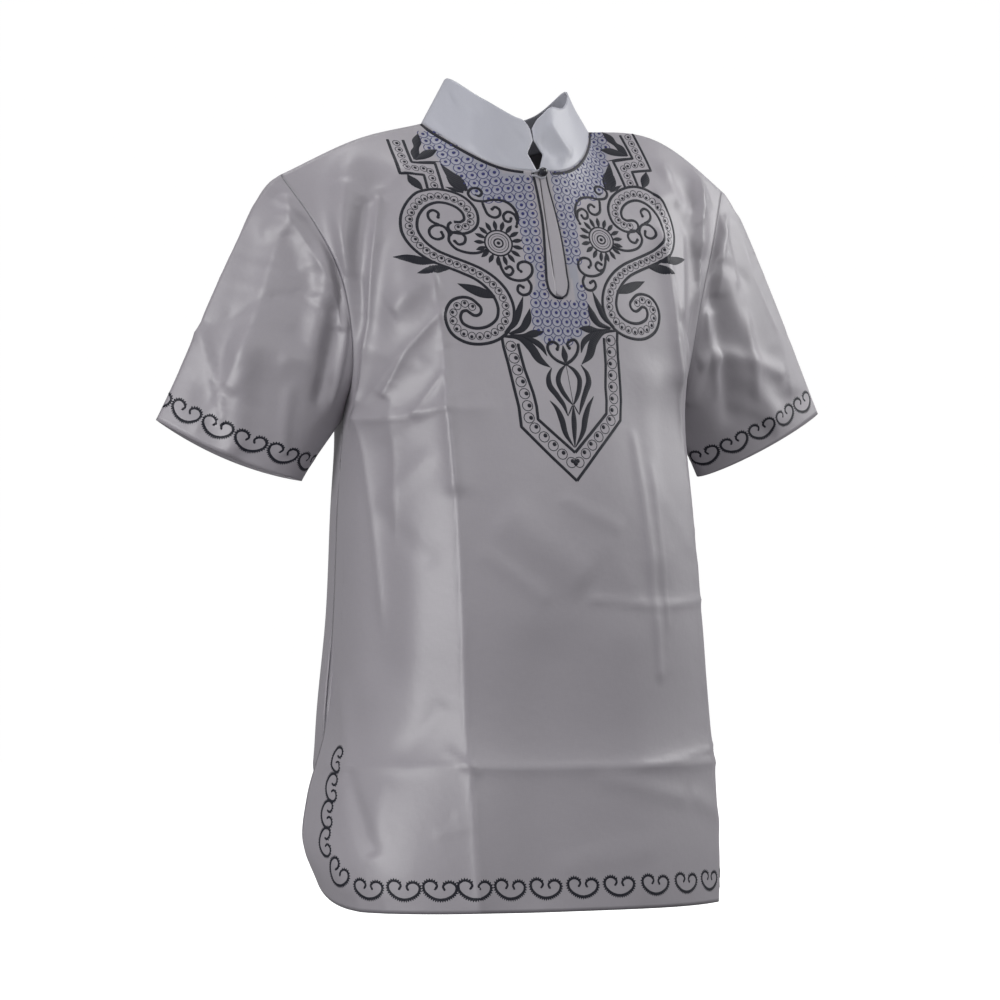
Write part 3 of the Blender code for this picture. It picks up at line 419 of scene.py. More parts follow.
def cubic(t, start, leave, end, arrive):
    """From start to end as t goes from 0 to 1, with these slopes on leaving and arriving."""
    return (
        start * (1 + 2 * t) * (1 - t) ** 2
        + leave * t * (1 - t) ** 2
        + end * t * t * (3 - 2 * t)
        + arrive * t * t * (t - 1)
    )


def cubic_through(knots, values, at):
    """Values on a smooth curve through the knots, with slopes from their neighbours."""
    knots, values, at = (np.asarray(given, float) for given in (knots, values, at))
    upright = (-1, *[1] * (values.ndim - 1))  # one number for each row of values
    steps = np.diff(knots).reshape(upright)
    chords = np.diff(values, axis=0) / steps
    inner = chords[:-1] * steps[1:] + chords[1:] * steps[:-1]
    slopes = np.concatenate([chords[:1], inner / (steps[1:] + steps[:-1]), chords[-1:]])
    i = np.clip(np.searchsorted(knots, at, side="right") - 1, 0, len(knots) - 2)
    width = (knots[i + 1] - knots[i]).reshape(upright)
    t = (at - knots[i]).reshape(upright) / width
    return cubic(t, values[i], slopes[i] * width, values[i + 1], slopes[i + 1] * width)


def run_along(line):
    """The distance from a line's start to each of its points."""
    return np.concatenate([[0], np.cumsum(np.linalg.norm(np.diff(line, axis=0), axis=1))])


def grid_normals(points, outward, closed=False):
    """Unit normals of a grid of points; outward is 1 or -1, closed joins the columns."""
    down_rows = np.gradient(points, axis=0)
    if closed:
        across = np.roll(points, -1, axis=1) - np.roll(points, 1, axis=1)
    else:
        across = np.gradient(points, axis=1)
    normals = np.cross(across, down_rows) * outward
    return normals / np.maximum(np.linalg.norm(normals, axis=2, keepdims=True), 1e-12)


# The form of each piece


def mirrored_through(marks, at):
    """Values at these columns of a row of marks that is mirrored at the centre line."""
    marks = np.asarray(marks, float)
    mirrored = marks[1:][::-1] * MARK_MIRROR
    whole = np.concatenate([mirrored, marks])
    return cubic_through(whole[:, 0], whole[:, 1:], at)


def ring_points(ring, edge, at):
    """Points x, y, z, p, q at these columns of a half-section below the armpit."""
    turn = np.linspace(0, math.pi / 2, RING_SAMPLES)
    x = edge.x * np.sin(turn) ** (2 / edge.square)
    y = edge.y + (ring.centre_y - edge.y) * np.cos(turn) ** (2 / edge.square)
    along = run_along(np.stack([x, y], axis=1))
    share = at / COLUMNS
    length = share * along[-1]
    bend = np.clip((share - edge.corner) / (1 - edge.corner), 0, 1)
    lift = (edge.z - ring.centre_z) * (1 - np.sqrt(1 - bend**2))
    x, y = np.interp(length, along, x), np.interp(length, along, y)
    return np.stack([x, y, ring.centre_z + lift, length, ring.cut_q + lift], axis=1)


def yoke_points(marks, at):
    """Points x, y, z, p, q at these columns of a level above the armpit."""
    neck = [mark for mark in marks if mark[0] <= NECK_COLUMN]
    if len(neck) < 3:  # no neckline at this level, so one curve runs out to the edge
        return mirrored_through(marks, at)
    shoulder = np.array([mark for mark in marks if mark[0] >= NECK_COLUMN], float)
    outer = cubic_through(shoulder[:, 0], shoulder[:, 1:], at)
    return np.where((at <= NECK_COLUMN)[:, None], mirrored_through(neck, at), outer)


def panel_form(rings, yoke, columns, rows):
    """A panel's smooth form: x, y, z, p, q in cm for each row and signed column."""
    distance = np.abs(columns)
    to_right = (columns < 0)[:, None]
    levels = {}
    for ring in rings:
        right = ring_points(ring, ring.right, distance)
        left = ring_points(ring, ring.left or ring.right, distance)
        levels[ring.row] = np.where(to_right, right, left)
    for row, marks in yoke.items():
        levels[row] = yoke_points(marks, distance)
    form = cubic_through(list(levels), list(levels.values()), rows)
    beyond_neck = np.clip((columns - NECK_COLUMN) / LEFT_SHOULDER_SPAN, 0, 1)
    near_seam = (rows - LEFT_SHOULDER_ROW) / (ROWS - LEFT_SHOULDER_ROW)
    raised = np.sin(math.pi * beyond_neck)[None, :] * smooth_step(near_seam)[:, None]
    form[:, :, 2] += LEFT_SHOULDER_RISE * raised
    side = np.where(columns < 0, -1.0, 1.0)
    form[:, :, 0] *= side
    form[:, :, 3] *= side
    return form


def fold_rise(folds, p, q):
    """How far the folds lift the cloth at p, q in the cut, all in cm."""
    rise = np.zeros_like(p)
    for fold in folds:
        run_p = fold.to_p - fold.p
        run_q = fold.to_q - fold.q
        length = math.hypot(run_p, run_q)
        along = ((p - fold.p) * run_p + (q - fold.q) * run_q) / length**2
        off = np.abs((p - fold.p) * run_q - (q - fold.q) * run_p) / length / fold.width
        ends = smooth_step(np.minimum(along, 1 - along) / FOLD_FADE + 0.5)
        shape = np.exp(-PRESSED_SHARPNESS * off) if fold.pressed else np.exp(-(off**2))
        rise += fold.rise * ends * shape
    return rise


def bent(creases):
    """Each crease as a chain of folds."""
    return tuple(
        Fold(*start, *end, crease.width, crease.rise, crease.pressed)
        for crease in creases
        for start, end in zip(crease.marks, crease.marks[1:])
    )


def folded_panel(rings, yoke, folds, columns, rows, outward):
    """A panel with its folds, level at the seams; metres for the points and the cut."""
    form = panel_form(rings, yoke, columns, rows)
    normals = grid_normals(form[:, :, :3], outward)
    from_side = (COLUMNS - np.abs(columns)) / SEAM_FADE
    from_top = (ROWS - rows) / SEAM_FADE
    free = smooth_step(from_side)[None, :] * smooth_step(from_top)[:, None]
    rise = fold_rise(folds, form[:, :, 3], form[:, :, 4]) * free
    form[:, :, :3] += normals * rise[:, :, None]
    return form * CM


def join_side_seams(front, back, rows):
    """Give both panels the same side seam from the vent's top to the armpit."""
    seam = (rows >= VENT_ROW) & (rows <= ARMPIT_ROW)
    for edge in (0, -1):
        middle = (front[seam, edge] + back[seam, edge]) / 2
        front[seam, edge] = middle
        back[seam, edge] = middle


def armhole_ring(front, back, rows, edge):
    """The armhole from the armpit up the front's edge and down the back's."""
    above = rows >= ARMPIT_ROW
    up = front[above, edge, :3]
    down = back[above, edge, :3][::-1]
    return np.concatenate([up, down[1:-1]])


def sleeve_points(sleeve, sleeve_folds, armhole, shares):
    """Rings of a sleeve from its armhole ring, which runs from the armpit over the front."""
    count = len(armhole)
    half = count // 2
    outer, inner, axis, lean = (
        np.array(given) * [sleeve.side, 1, 1]
        for given in (sleeve.outer, sleeve.inner, sleeve.axis, HEAD_LEAN)
    )
    width = outer - inner
    backward = np.cross(width, axis) * sleeve.side
    backward /= np.linalg.norm(backward)
    index = np.arange(count)
    to_fold = np.where(index <= half, index, count - index) / half
    swell = hump(to_fold, SWELL_START, SWELL_END)
    reach = np.where(index <= half, -sleeve.front_swell, sleeve.back_swell) * swell
    cuff = inner + width * to_fold[:, None] + backward * reach[:, None]
    cuff[:, 2] -= sleeve.dip * 4 * to_fold * (1 - to_fold)
    start = armhole / CM
    chord = np.linalg.norm(cuff - start, axis=1)[:, None]
    height = (to_fold**HEAD_GROWTH)[:, None]
    leave = axis * (1 - height) + lean * height
    leave *= UNDERARM_REACH + (sleeve.reach - UNDERARM_REACH) * height
    arrive = axis / np.linalg.norm(axis) * chord
    t = shares[:, None, None]
    rings = cubic(t, start, leave, cuff, arrive)
    around = np.broadcast_to(index / count, rings.shape[:2]) * SLEEVE_ROUND
    along = np.broadcast_to(t[:, :, 0], rings.shape[:2]) * SLEEVE_LENGTH
    folds = [
        Fold(
            -fold.round * SLEEVE_ROUND, fold.along * SLEEVE_LENGTH,
            -fold.to_round * SLEEVE_ROUND, fold.to_along * SLEEVE_LENGTH,
            fold.width, fold.rise,
        )
        for fold in sleeve_folds
    ]
    free = smooth_step(along / SLEEVE_LENGTH / ARMHOLE_FADE)
    rise = fold_rise(folds, -around, along) * free
    rings += grid_normals(rings, -sleeve.side, closed=True) * rise[:, :, None]
    return rings * CM


def sleeve_grid(name, front, back, rows):
    """A sleeve with all its folds, and its cut measured up from the cuff."""
    sleeve = SLEEVES[name]
    shares = np.linspace(0, 1, SLEEVE_ROWS * FINENESS + 1) ** ROW_CROWDING
    armhole = armhole_ring(front, back, rows, 0 if sleeve.side < 0 else -1)
    rings = sleeve_points(sleeve, SLEEVE_FOLDS[name] + FINE_SLEEVES[name], armhole, shares)
    around = run_along(rings[-1]) / CM
    down = np.linalg.norm(np.diff(rings, axis=0), axis=2) / CM
    up = np.concatenate([np.cumsum(down[::-1], axis=0)[::-1], 0 * down[:1]])
    cut = np.stack([np.broadcast_to(around, up.shape), up], axis=2)
    rise = fold_rise(bent(SLEEVE_CREASES[name]), cut[:, :, 0], up)
    rise *= smooth_step(shares / ARMHOLE_FADE)[:, None] * CM
    rings = rings + grid_normals(rings, -sleeve.side, closed=True) * rise[:, :, None]
    return {
        "points": rings, "cut": cut, "outward": -sleeve.side,
        "closed": True, "round": around[-1] * 2 - around[-2],
    }


def collar_points(front, back, columns, heights):
    """The collar from one front end round the back to the other, by share of height."""
    inside = np.abs(columns) <= NECK_COLUMN
    near = columns[inside]
    neck_front = front[-1, inside, :3]
    neck_back = back[-1, inside, :3]
    base = np.concatenate(
        [neck_front[near <= 0][::-1], neck_back[1:-1], neck_front[near >= 0][::-1]]
    )
    across = np.linspace(-1, 1, len(base))
    marks = np.array(COLLAR_TOP)
    flip = np.array([-1, -1, 1, 1])
    beyond = marks[:-1][::-1] * flip + np.array([2 * COLLAR_STEPS, 0, 0, 0])
    ring = np.concatenate([marks[1:][::-1] * flip, marks, beyond])
    top = cubic_through(ring[:, 0], ring[:, 1:], COLLAR_STEPS * (1 - np.abs(across))) * CM
    top[:, 0] *= np.sign(across)
    top[:, 2] -= COLLAR_TILT * top[:, 0]
    return np.array([base * (1 - height) + top * height for height in heights])


def collar_grid(band, heights):
    """The collar with its gap, rounded corners, lean and dents, and its cut."""
    apart = np.interp(heights, *zip(*COLLAR_ENDS)) * CM
    band[:, 0, 0] = -apart
    band[:, -1, 0] = apart
    for near in range(1, FINENESS):
        share = near / FINENESS
        for end, step in ((0, 1), (-1, -1)):
            inner = band[:, end + step * FINENESS]
            band[:, end + step * near] = band[:, end] * (1 - share) + inner * share
    rise = np.linalg.norm(band - band[:1], axis=2) / CM
    right = np.broadcast_to(run_along(band[0]) / CM, rise.shape)
    left = right.max() - right
    for from_end in (left, right):
        drop = np.clip(1 - from_end / CORNER_REACH, 0, 1) ** 2
        band[:, :, 2] -= CORNER_DROP * CM * drop * (heights**3)[:, None]
    lift = np.exp(-(((left - LEFT_RISE_AT) / LEFT_RISE_SPAN) ** 2))
    band[:, :, 2] += LEFT_RISE * CM * (lift * heights[:, None] ** 2)
    dents = fold_rise(COLLAR_DENTS, left, rise) + fold_rise(COLLAR_DENTS_RIGHT, right, rise)
    free = smooth_step(heights * COLLAR_DENT_EASE)[:, None]
    band += grid_normals(band, -1) * (dents * free * CM)[:, :, None]
    return {"points": band, "cut": np.stack([right, rise], axis=2), "outward": -1}


def shirt_grids():
    """Grids of the cloth: points, normals, cut in cm, and which side is outward."""
    columns = np.linspace(-COLUMNS, COLUMNS, 2 * COLUMNS * FINENESS + 1)
    rows = np.linspace(0, ROWS, ROWS * FINENESS + 1)
    front_folds = FRONT_FOLDS + FINE_FRONT + bent(FRONT_CREASES + PACKET_CREASES)
    back_folds = BACK_FOLDS + FINE_BACK + bent(BACK_CREASES)
    front = folded_panel(FRONT_RINGS, FRONT_YOKE, front_folds, columns, rows, 1)
    back = folded_panel(BACK_RINGS, BACK_YOKE, back_folds, columns, rows, -1)
    join_side_seams(front, back, rows)
    grids = {
        "front": {"points": front[:, :, :3], "cut": front[:, :, 3:] / CM, "outward": 1},
        "back": {"points": back[:, :, :3], "cut": back[:, :, 3:] / CM, "outward": -1},
    }
    for name in SLEEVES:
        grids[name] = sleeve_grid(name, front, back, rows)
    heights = np.linspace(0, 1, COLLAR_ROWS * FINENESS + 1)
    grids["collar"] = collar_grid(collar_points(front, back, columns, heights), heights)
    for grid in grids.values():
        closed = grid.setdefault("closed", False)
        grid["normals"] = grid_normals(grid["points"], grid["outward"], closed)
    return grids


# Materials


def linear(code):
    """An sRGB hex colour as linear red, green, blue and alpha."""
    parts = [int(code[i : i + 2], 16) / 255 for i in (1, 3, 5)]
    parts = [p / 12.92 if p <= 0.04045 else ((p + 0.055) / 1.055) ** 2.4 for p in parts]
    return (*parts, 1.0)


def node(tree, kind, settings=None, inputs=None, links=None):
    """Add a node, set it up, and link its inputs from other nodes' outputs."""
    new = tree.nodes.new(kind)
    for key, value in (settings or {}).items():
        setattr(new, key, value)
    for key, value in (inputs or {}).items():
        new.inputs[key].default_value = value
    for key, (source, output) in (links or {}).items():
        tree.links.new(source.outputs[output], new.inputs[key])
    return new


def shader_of(name, colour, roughness, **inputs):
    """A new material's node tree and shader, with the finish that is even all over."""
    material = bpy.data.materials.new(name)
    material.use_nodes = True
    shader = material.node_tree.nodes["Principled BSDF"]
    shader.inputs["Base Color"].default_value = linear(colour)
    shader.inputs["Roughness"].default_value = roughness
    for key, value in inputs.items():
        shader.inputs[key.replace("_", " ")].default_value = value
    return material, material.node_tree, shader


def mixed(tree, dark, light, share):
    """Two colours mixed by a node's output."""
    return node(
        tree, "ShaderNodeMix", {"data_type": "RGBA"},
        {"A": linear(dark), "B": linear(light)}, {"Factor": share},
    )


def bumped(tree, shader, height, strength, distance, below=None):
    """Bump from a node's output, over another bump where one is given."""
    links = {"Height": height}
    if below is not None:
        links["Normal"] = (below, "Normal")
    bump = node(
        tree, "ShaderNodeBump", {}, {"Strength": strength, "Distance": distance}, links
    )
    tree.links.new(bump.outputs["Normal"], shader.inputs["Normal"])
    return bump


def poplin(name, colour, shade, painted=None):
    """Poly-cotton poplin, calendered: a close plain weave, pressed to a soft sheen.

    The weave is finer than the render shows, so it is drawn twice as coarse, and faint
    thick threads run both ways through it. Painted is a colour for each named attribute.
    """
    material, tree, shader = shader_of(
        name, colour, 0.5, Sheen_Weight=0.08, Specular_IOR_Level=0.9
    )
    cut = node(tree, "ShaderNodeUVMap", {"uv_map": "cut"})
    slubs = []
    for length, across in ((90.0, 2600.0), (2600.0, 90.0)):
        stretched = node(
            tree, "ShaderNodeMapping", {"vector_type": "POINT"},
            {"Scale": (length, across, 1.0)}, {"Vector": (cut, "UV")},
        )
        slubs.append(node(
            tree, "ShaderNodeTexNoise", {"noise_dimensions": "2D"},
            {"Scale": 1.0, "Detail": 2.0, "Roughness": 0.6}, {"Vector": (stretched, "Vector")},
        ))
    threads = node(
        tree, "ShaderNodeMath", {"operation": "ADD"}, {},
        {0: (slubs[0], "Fac"), 1: (slubs[1], "Fac")},
    )
    tone = node(
        tree, "ShaderNodeMapRange", {}, {"From Min": 0.6, "From Max": 1.4},
        {"Value": (threads, "Value")},
    )
    cloth = mixed(tree, colour, shade, (tone, "Result"))
    # Each named attribute mixes in its colour: a tint under the scales, or painted shade along
    # the seams
    for attribute, paint in (painted or {}).items():
        covered = node(tree, "ShaderNodeAttribute", {"attribute_name": attribute})
        cloth = node(
            tree, "ShaderNodeMix", {"data_type": "RGBA"}, {"B": linear(paint)},
            {"Factor": (covered, "Fac"), "A": (cloth, "Result")},
        )
    tree.links.new(cloth.outputs["Result"], shader.inputs["Base Color"])
    crumple = node(
        tree, "ShaderNodeTexNoise", {"noise_dimensions": "2D"},
        {"Scale": 26.0, "Detail": 3.0, "Roughness": 0.6}, {"Vector": (cut, "UV")},
    )
    weave = bumped(tree, shader, (threads, "Value"), 0.12, 0.0003)
    bumped(tree, shader, (crumple, "Fac"), 0.35, 0.0016, below=weave)
    return material


def embroidery_threads():
    """Rayon machine-embroidery threads in satin stitch: charcoal, violet and pale grey."""
    made = []
    for name, colour, roughness in (
        ("charcoal_rayon_thread", "#191a24", 0.5),
        ("violet_rayon_thread", "#2f3163", 0.5),
        ("pale_violet_rayon_thread", "#9a9aaa", 0.45),
    ):
        material, tree, shader = shader_of(name, colour, roughness, Specular_IOR_Level=0.25)
        stitch = node(tree, "ShaderNodeUVMap", {"uv_map": "threads"})
        ridges = node(
            tree, "ShaderNodeTexWave",
            {"wave_type": "BANDS", "bands_direction": "X", "wave_profile": "SIN"},
            {"Scale": 160.0, "Distortion": 1.2, "Detail": 1.0}, {"Vector": (stitch, "UV")},
        )
        bumped(tree, shader, (ridges, "Fac"), 0.35, 0.0004)
        made.append(material)
    return made


def dark_resin():
    """The button's polished resin, faintly clouded."""
    material, tree, shader = shader_of("polished_dark_resin", "#1b1b20", 0.16, IOR=1.52)
    cloud = node(
        tree, "ShaderNodeTexNoise", {}, {"Scale": 260.0, "Detail": 3.0},
        {"Vector": (node(tree, "ShaderNodeTexCoord"), "Object")},
    )
    tone = mixed(tree, "#141418", "#2c2c34", (cloud, "Fac"))
    tree.links.new(tone.outputs["Result"], shader.inputs["Base Color"])
    return material


def rouleau_cord():
    """The loop's cord, a turned tube of cloth."""
    material, tree, shader = shader_of("rouleau_cord", "#a9a9b2", 0.5, Sheen_Weight=0.15)
    weave = node(
        tree, "ShaderNodeTexWave", {"wave_type": "BANDS", "bands_direction": "DIAGONAL"},
        {"Scale": 700.0, "Distortion": 1.0},
        {"Vector": (node(tree, "ShaderNodeTexCoord"), "Object")},
    )
    bumped(tree, shader, (weave, "Fac"), 0.3, 0.0002)
    return material


# Cloth on its form, in metres

SLIT_GAP = 0.0012
POPLIN_THICK = 0.0007
COLLAR_THICK = 0.0016
SAME_PLACE = 0.00001
# How far the cloth is darkened towards its seam colour, as painted shade along the seams
SEAM_PAINTED_SHADE = 0.75


def added(name, data):
    """A new object in the scene."""
    piece = bpy.data.objects.new(name, data)
    bpy.context.scene.collection.objects.link(piece)
    return piece


def finished_mesh(name, bm, materials):
    """The mesh of a bmesh that is done, with its materials."""
    mesh = bpy.data.meshes.new(name)
    bm.to_mesh(mesh)
    bm.free()
    for material in materials:
        mesh.materials.append(material)
    return mesh


def thickened(piece, thickness):
    """Give a sheet its thickness, inwards from its outer side."""
    wall = piece.modifiers.new("cloth", "SOLIDIFY")
    wall.thickness = thickness
    wall.offset = -1


def slit_sides(bm, spot, columns, slit_row):
    """Split a panel down its centre line from a row up; its new edges' vertices and sides."""
    middle = columns // 2

    def above(vert, row):
        return vert[spot] % columns == middle and vert[spot] // columns >= row

    slit = [edge for edge in bm.edges if all(above(vert, slit_row) for vert in edge.verts)]
    bmesh.ops.split_edges(bm, edges=slit)
    sides = {}
    for vert in bm.verts:
        if above(vert, slit_row + 1):
            centre = sum(face.calc_center_median().x for face in vert.link_faces)
            sides[vert] = math.copysign(1, centre)
    return sides


def cloth_mesh(name, grid, materials, thickness, slit_row=None):
    """A grid of cloth moved onto its form, with the cut as its UV map, then thickened."""
    rows, wide = grid["points"].shape[:2]
    columns = wide + 1 if grid["closed"] else wide
    bm = bmesh.new()
    uv_layer = bm.loops.layers.uv.new("cut")
    spot = bm.verts.layers.int.new("spot")
    # Vertex layers for the tint under the scales and for the painted shade along the seams
    painted = {
        bm.verts.layers.float.new(layer): grid[layer]
        for layer in ("yoke", "seam") if layer in grid
    }
    bmesh.ops.create_grid(bm, x_segments=columns - 1, y_segments=rows - 1, size=0.5)
    for index, vert in enumerate(bm.verts):
        vert[spot] = index
    sides = {} if slit_row is None else slit_sides(bm, spot, columns, slit_row)
    for vert in bm.verts:
        row, column = divmod(vert[spot], columns)
        at = row, column % wide
        for layer, cover in painted.items():
            vert[layer] = cover[at]
        p, q = grid["cut"][at]
        if column == wide:
            p = grid["round"]
        for loop in vert.link_loops:
            loop[uv_layer].uv = (p * CM, q * CM)
        vert.co = grid["points"][at]
        vert.co.x += sides.get(vert, 0) * SLIT_GAP / 2
    bm.verts.layers.int.remove(spot)
    if grid["closed"]:
        bmesh.ops.remove_doubles(bm, verts=bm.verts, dist=SAME_PLACE)
    if faces_outward(bm, grid) < 0:
        bmesh.ops.reverse_faces(bm, faces=bm.faces)
    mesh = finished_mesh(name, bm, materials)
    mesh.shade_smooth()
    piece = added(name, mesh)
    thickened(piece, thickness)
    return piece


def seam_painted_shade(grid):
    """Painted shade along the seam at the top of a piece and, on a flat one, along its sides."""
    cover = np.zeros(grid["cut"].shape[:2])
    cover[0] = SEAM_PAINTED_SHADE
    if not grid["closed"]:
        cover[:, [0, -1]] = SEAM_PAINTED_SHADE
    return cover


def faces_outward(bm, grid):
    """1 where the grid's faces already point outwards, -1 where they point inwards."""
    bm.normal_update()
    bm.faces.ensure_lookup_table()
    face = bm.faces[len(bm.faces) // 2]
    centre = np.array(face.calc_center_median())
    gap = np.linalg.norm(grid["points"] - centre, axis=2)
    nearest = np.unravel_index(np.argmin(gap), gap.shape)
    return 1 if np.dot(grid["normals"][nearest], face.normal) > 0 else -1


# Embroidery, worked flat in cm of the cut and then laid on the cloth

LINE_STEP = 0.12
CHARCOAL, VIOLET, PALE = range(3)
# Stitches begin a little under the cloth's face, so that no gap shows below them
STITCH_SINK = 0.008
DOT_SINK = 0.01
DOT_SIDES = 9
DOT_TOP = 0.45
# A line of satin stitch this wide or wider has its whole height
FULL_WIDTH = 0.125


def even_out(line, step=LINE_STEP):
    """A line's points set at even steps along its first two values."""
    run = run_along(line[:, :2])
    count = max(3, int(round(run[-1] / step)) + 1)
    even = np.linspace(0, run[-1], count)
    return np.stack([np.interp(even, run, column) for column in line.T], axis=1)


def smooth_line(marks, step=LINE_STEP):
    """A smooth line through marks of two or more values, at even steps."""
    marks = np.asarray(marks, float)
    knots = run_along(marks[:, :2])
    fine = np.linspace(0, knots[-1], max(8, int(knots[-1] / step) * 4))
    return even_out(cubic_through(knots, marks, fine), step)


def broken_line(marks, step=LINE_STEP):
    """A line with sharp corners at its marks, at nearly even steps."""
    marks = np.asarray(marks, float)
    parts = [marks[:1]]
    for start, end in zip(marks, marks[1:]):
        count = max(1, int(round(np.linalg.norm(end[:2] - start[:2]) / step)))
        parts.append(start + (end - start) * (np.arange(1, count + 1) / count)[:, None])
    return np.concatenate(parts)


def sideways(line):
    """Unit steps to the left of a line."""
    run = np.gradient(line[:, :2], axis=0)
    left = np.stack([-run[:, 1], run[:, 0]], axis=1)
    return left / np.maximum(np.linalg.norm(left, axis=1, keepdims=True), 1e-9)


def beside(line, distance):
    """The line moved to its left by a distance or a distance at each point."""
    distance = np.broadcast_to(distance, len(line))
    return line[:, :2] + sideways(line) * distance[:, None]


def arc(centre, radii, start, end, count):
    """Points on a round or oval arc between two angles in half turns."""
    turn = np.linspace(math.pi * start, math.pi * end, count)
    return np.stack([np.cos(turn), np.sin(turn)], axis=1) * radii + centre


class Hoop:
    """A flat bmesh of stitches, in cm: p, q and the height over the cloth."""

    def __init__(self, uv_map="threads"):
        self.bm = bmesh.new()
        self.uv_layer = self.bm.loops.layers.uv.new(uv_map)

    def band(self, line, width, height=0.045, thread=CHARCOAL, across=4, left=None, flat=False):
        """A band along a line, raised as satin stitch is or flat; left is its own width there."""
        count = len(line)
        right_half = np.broadcast_to(np.asarray(width, float) / 2, count)
        left_half = right_half if left is None else np.broadcast_to(left, count)
        if flat:
            line = np.column_stack([beside(line, (left_half - right_half) / 2), line[:, 0]])
            left_half = right_half = (left_half + right_half) / 2
        run = run_along(line[:, :2])
        left_way = sideways(line)
        made = bmesh.ops.create_grid(
            self.bm, x_segments=count - 1, y_segments=across, size=0.5
        )["verts"]
        for index, vert in enumerate(made):
            row, column = divmod(index, count)
            t = 2 * row / across - 1
            reach = left_half[column] * t if t > 0 else right_half[column] * t
            at = line[column, :2] + left_way[column] * reach
            full = min(1.0, (left_half[column] + right_half[column]) / FULL_WIDTH)
            lift = height if flat else height * full * (1 - t * t) - STITCH_SINK
            vert.co = (at[0], at[1], lift)
            for loop in vert.link_loops:
                loop[self.uv_layer].uv = (run[column] * CM, reach * CM)
        self.wind(made, thread)

    def wind(self, made, thread):
        """Give the faces of new vertices their thread."""
        for face in {face for vert in made for face in vert.link_faces}:
            face.material_index = thread

    def dot(self, centre, radius, height=0.06, thread=CHARCOAL):
        """A small padded dot."""
        made = bmesh.ops.create_cone(
            self.bm, cap_ends=True, segments=DOT_SIDES, radius1=radius,
            radius2=radius * DOT_TOP, depth=height,
        )["verts"]
        place = (centre[0], centre[1], height / 2 - DOT_SINK)
        bmesh.ops.translate(self.bm, verts=made, vec=place)
        self.wind(made, thread)

    def ring(self, centre, radius, width, height=0.03, count=14):
        """A closed ring of fine stitch."""
        self.band(arc(centre, radius, 0, 2, count + 1), width, height, across=2)

    def bead_chain(self, line, beads, side=1):
        """Rings in a row, each with a dot set to the left of its middle."""
        run = run_along(line[:, :2])
        left_way = sideways(line)
        count = int(run[-1] / beads.pitch)
        for spot in (np.arange(count) + 0.5) * run[-1] / count:
            centre, left = (
                np.array([np.interp(spot, run, values[:, k]) for k in (0, 1)])
                for values in (line, left_way)
            )
            self.ring(centre, beads.radius, beads.width, count=12)
            self.dot(centre + left * beads.aside * side, beads.dot)

    def laid_on(self, name, grid, materials):
        """Lay the stitches on a piece of cloth and make them one object."""
        if cut_turn(grid) < 0:
            bmesh.ops.reverse_faces(self.bm, faces=self.bm.faces)
        mesh = finished_mesh(name, self.bm, materials)
        flat = np.empty(len(mesh.vertices) * 3)
        mesh.vertices.foreach_get("co", flat)
        flat = flat.reshape(-1, 3)
        row, column = find_on_cut(grid, flat[:, 0], flat[:, 1])
        place = sample(grid["points"], row, column, grid["closed"])
        normal = sample(grid["normals"], row, column, grid["closed"])
        normal /= np.linalg.norm(normal, axis=1, keepdims=True)
        place = place + normal * (flat[:, 2:] * CM)
        mesh.vertices.foreach_set("co", place.ravel())
        mesh.update()
        mesh.shade_smooth()
        return added(name, mesh)


def cut_turn(grid):
    """1 where p, q and the outward side turn the same way as a flat drawing, else -1."""
    cut = grid["cut"]
    middle = (cut.shape[0] // 2, cut.shape[1] // 4)
    by_row = np.gradient(cut, axis=0)[middle]
    by_column = np.gradient(cut, axis=1)[middle]
    turn = by_column[0] * by_row[1] - by_column[1] * by_row[0]
    return np.sign(turn) * grid["outward"]


# Just over one row or column short of a grid's count, so that the next one is there
LAST_CELL = 1.000001


def sample(values, row, column, closed=False):
    """Values between a grid's points."""
    rows, columns = values.shape[:2]
    row = np.clip(row, 0, rows - LAST_CELL)
    column = np.mod(column, columns) if closed else np.clip(column, 0, columns - LAST_CELL)
    r = np.floor(row).astype(int)
    c = np.floor(column).astype(int) % columns
    c_next = (c + 1) % columns
    down = (row - r)[:, None]
    over = (column - np.floor(column))[:, None]
    return (
        values[r, c] * (1 - down) * (1 - over)
        + values[r + 1, c] * down * (1 - over)
        + values[r, c_next] * (1 - down) * over
        + values[r + 1, c_next] * down * over
    )


SEARCH_STRIDE = 12
SEARCH_ROUNDS = 14
SEARCH_BLOCK = 4000
SEARCH_STEP = 8


def find_on_cut(grid, p, q):
    """The row and column, with fractions, where a piece's cut has these p and q."""
    return find_round(grid, p, q) if grid["closed"] else find_on_panel(grid["cut"], p, q)


def find_round(grid, p, q):
    """The same on a sleeve, whose columns have one p each."""
    cut = grid["cut"]
    count = cut.shape[1]
    around = np.append(cut[0, :, 0], grid["round"])
    column = np.interp(np.mod(p, grid["round"]), around, np.arange(count + 1))
    nearest = np.round(column).astype(int) % count
    row = np.zeros_like(column)
    for c in np.unique(nearest):
        here = nearest == c
        up = cut[::-1, c, 1]
        row[here] = (len(up) - 1) - np.interp(q[here], up, np.arange(len(up)))
    return row, column


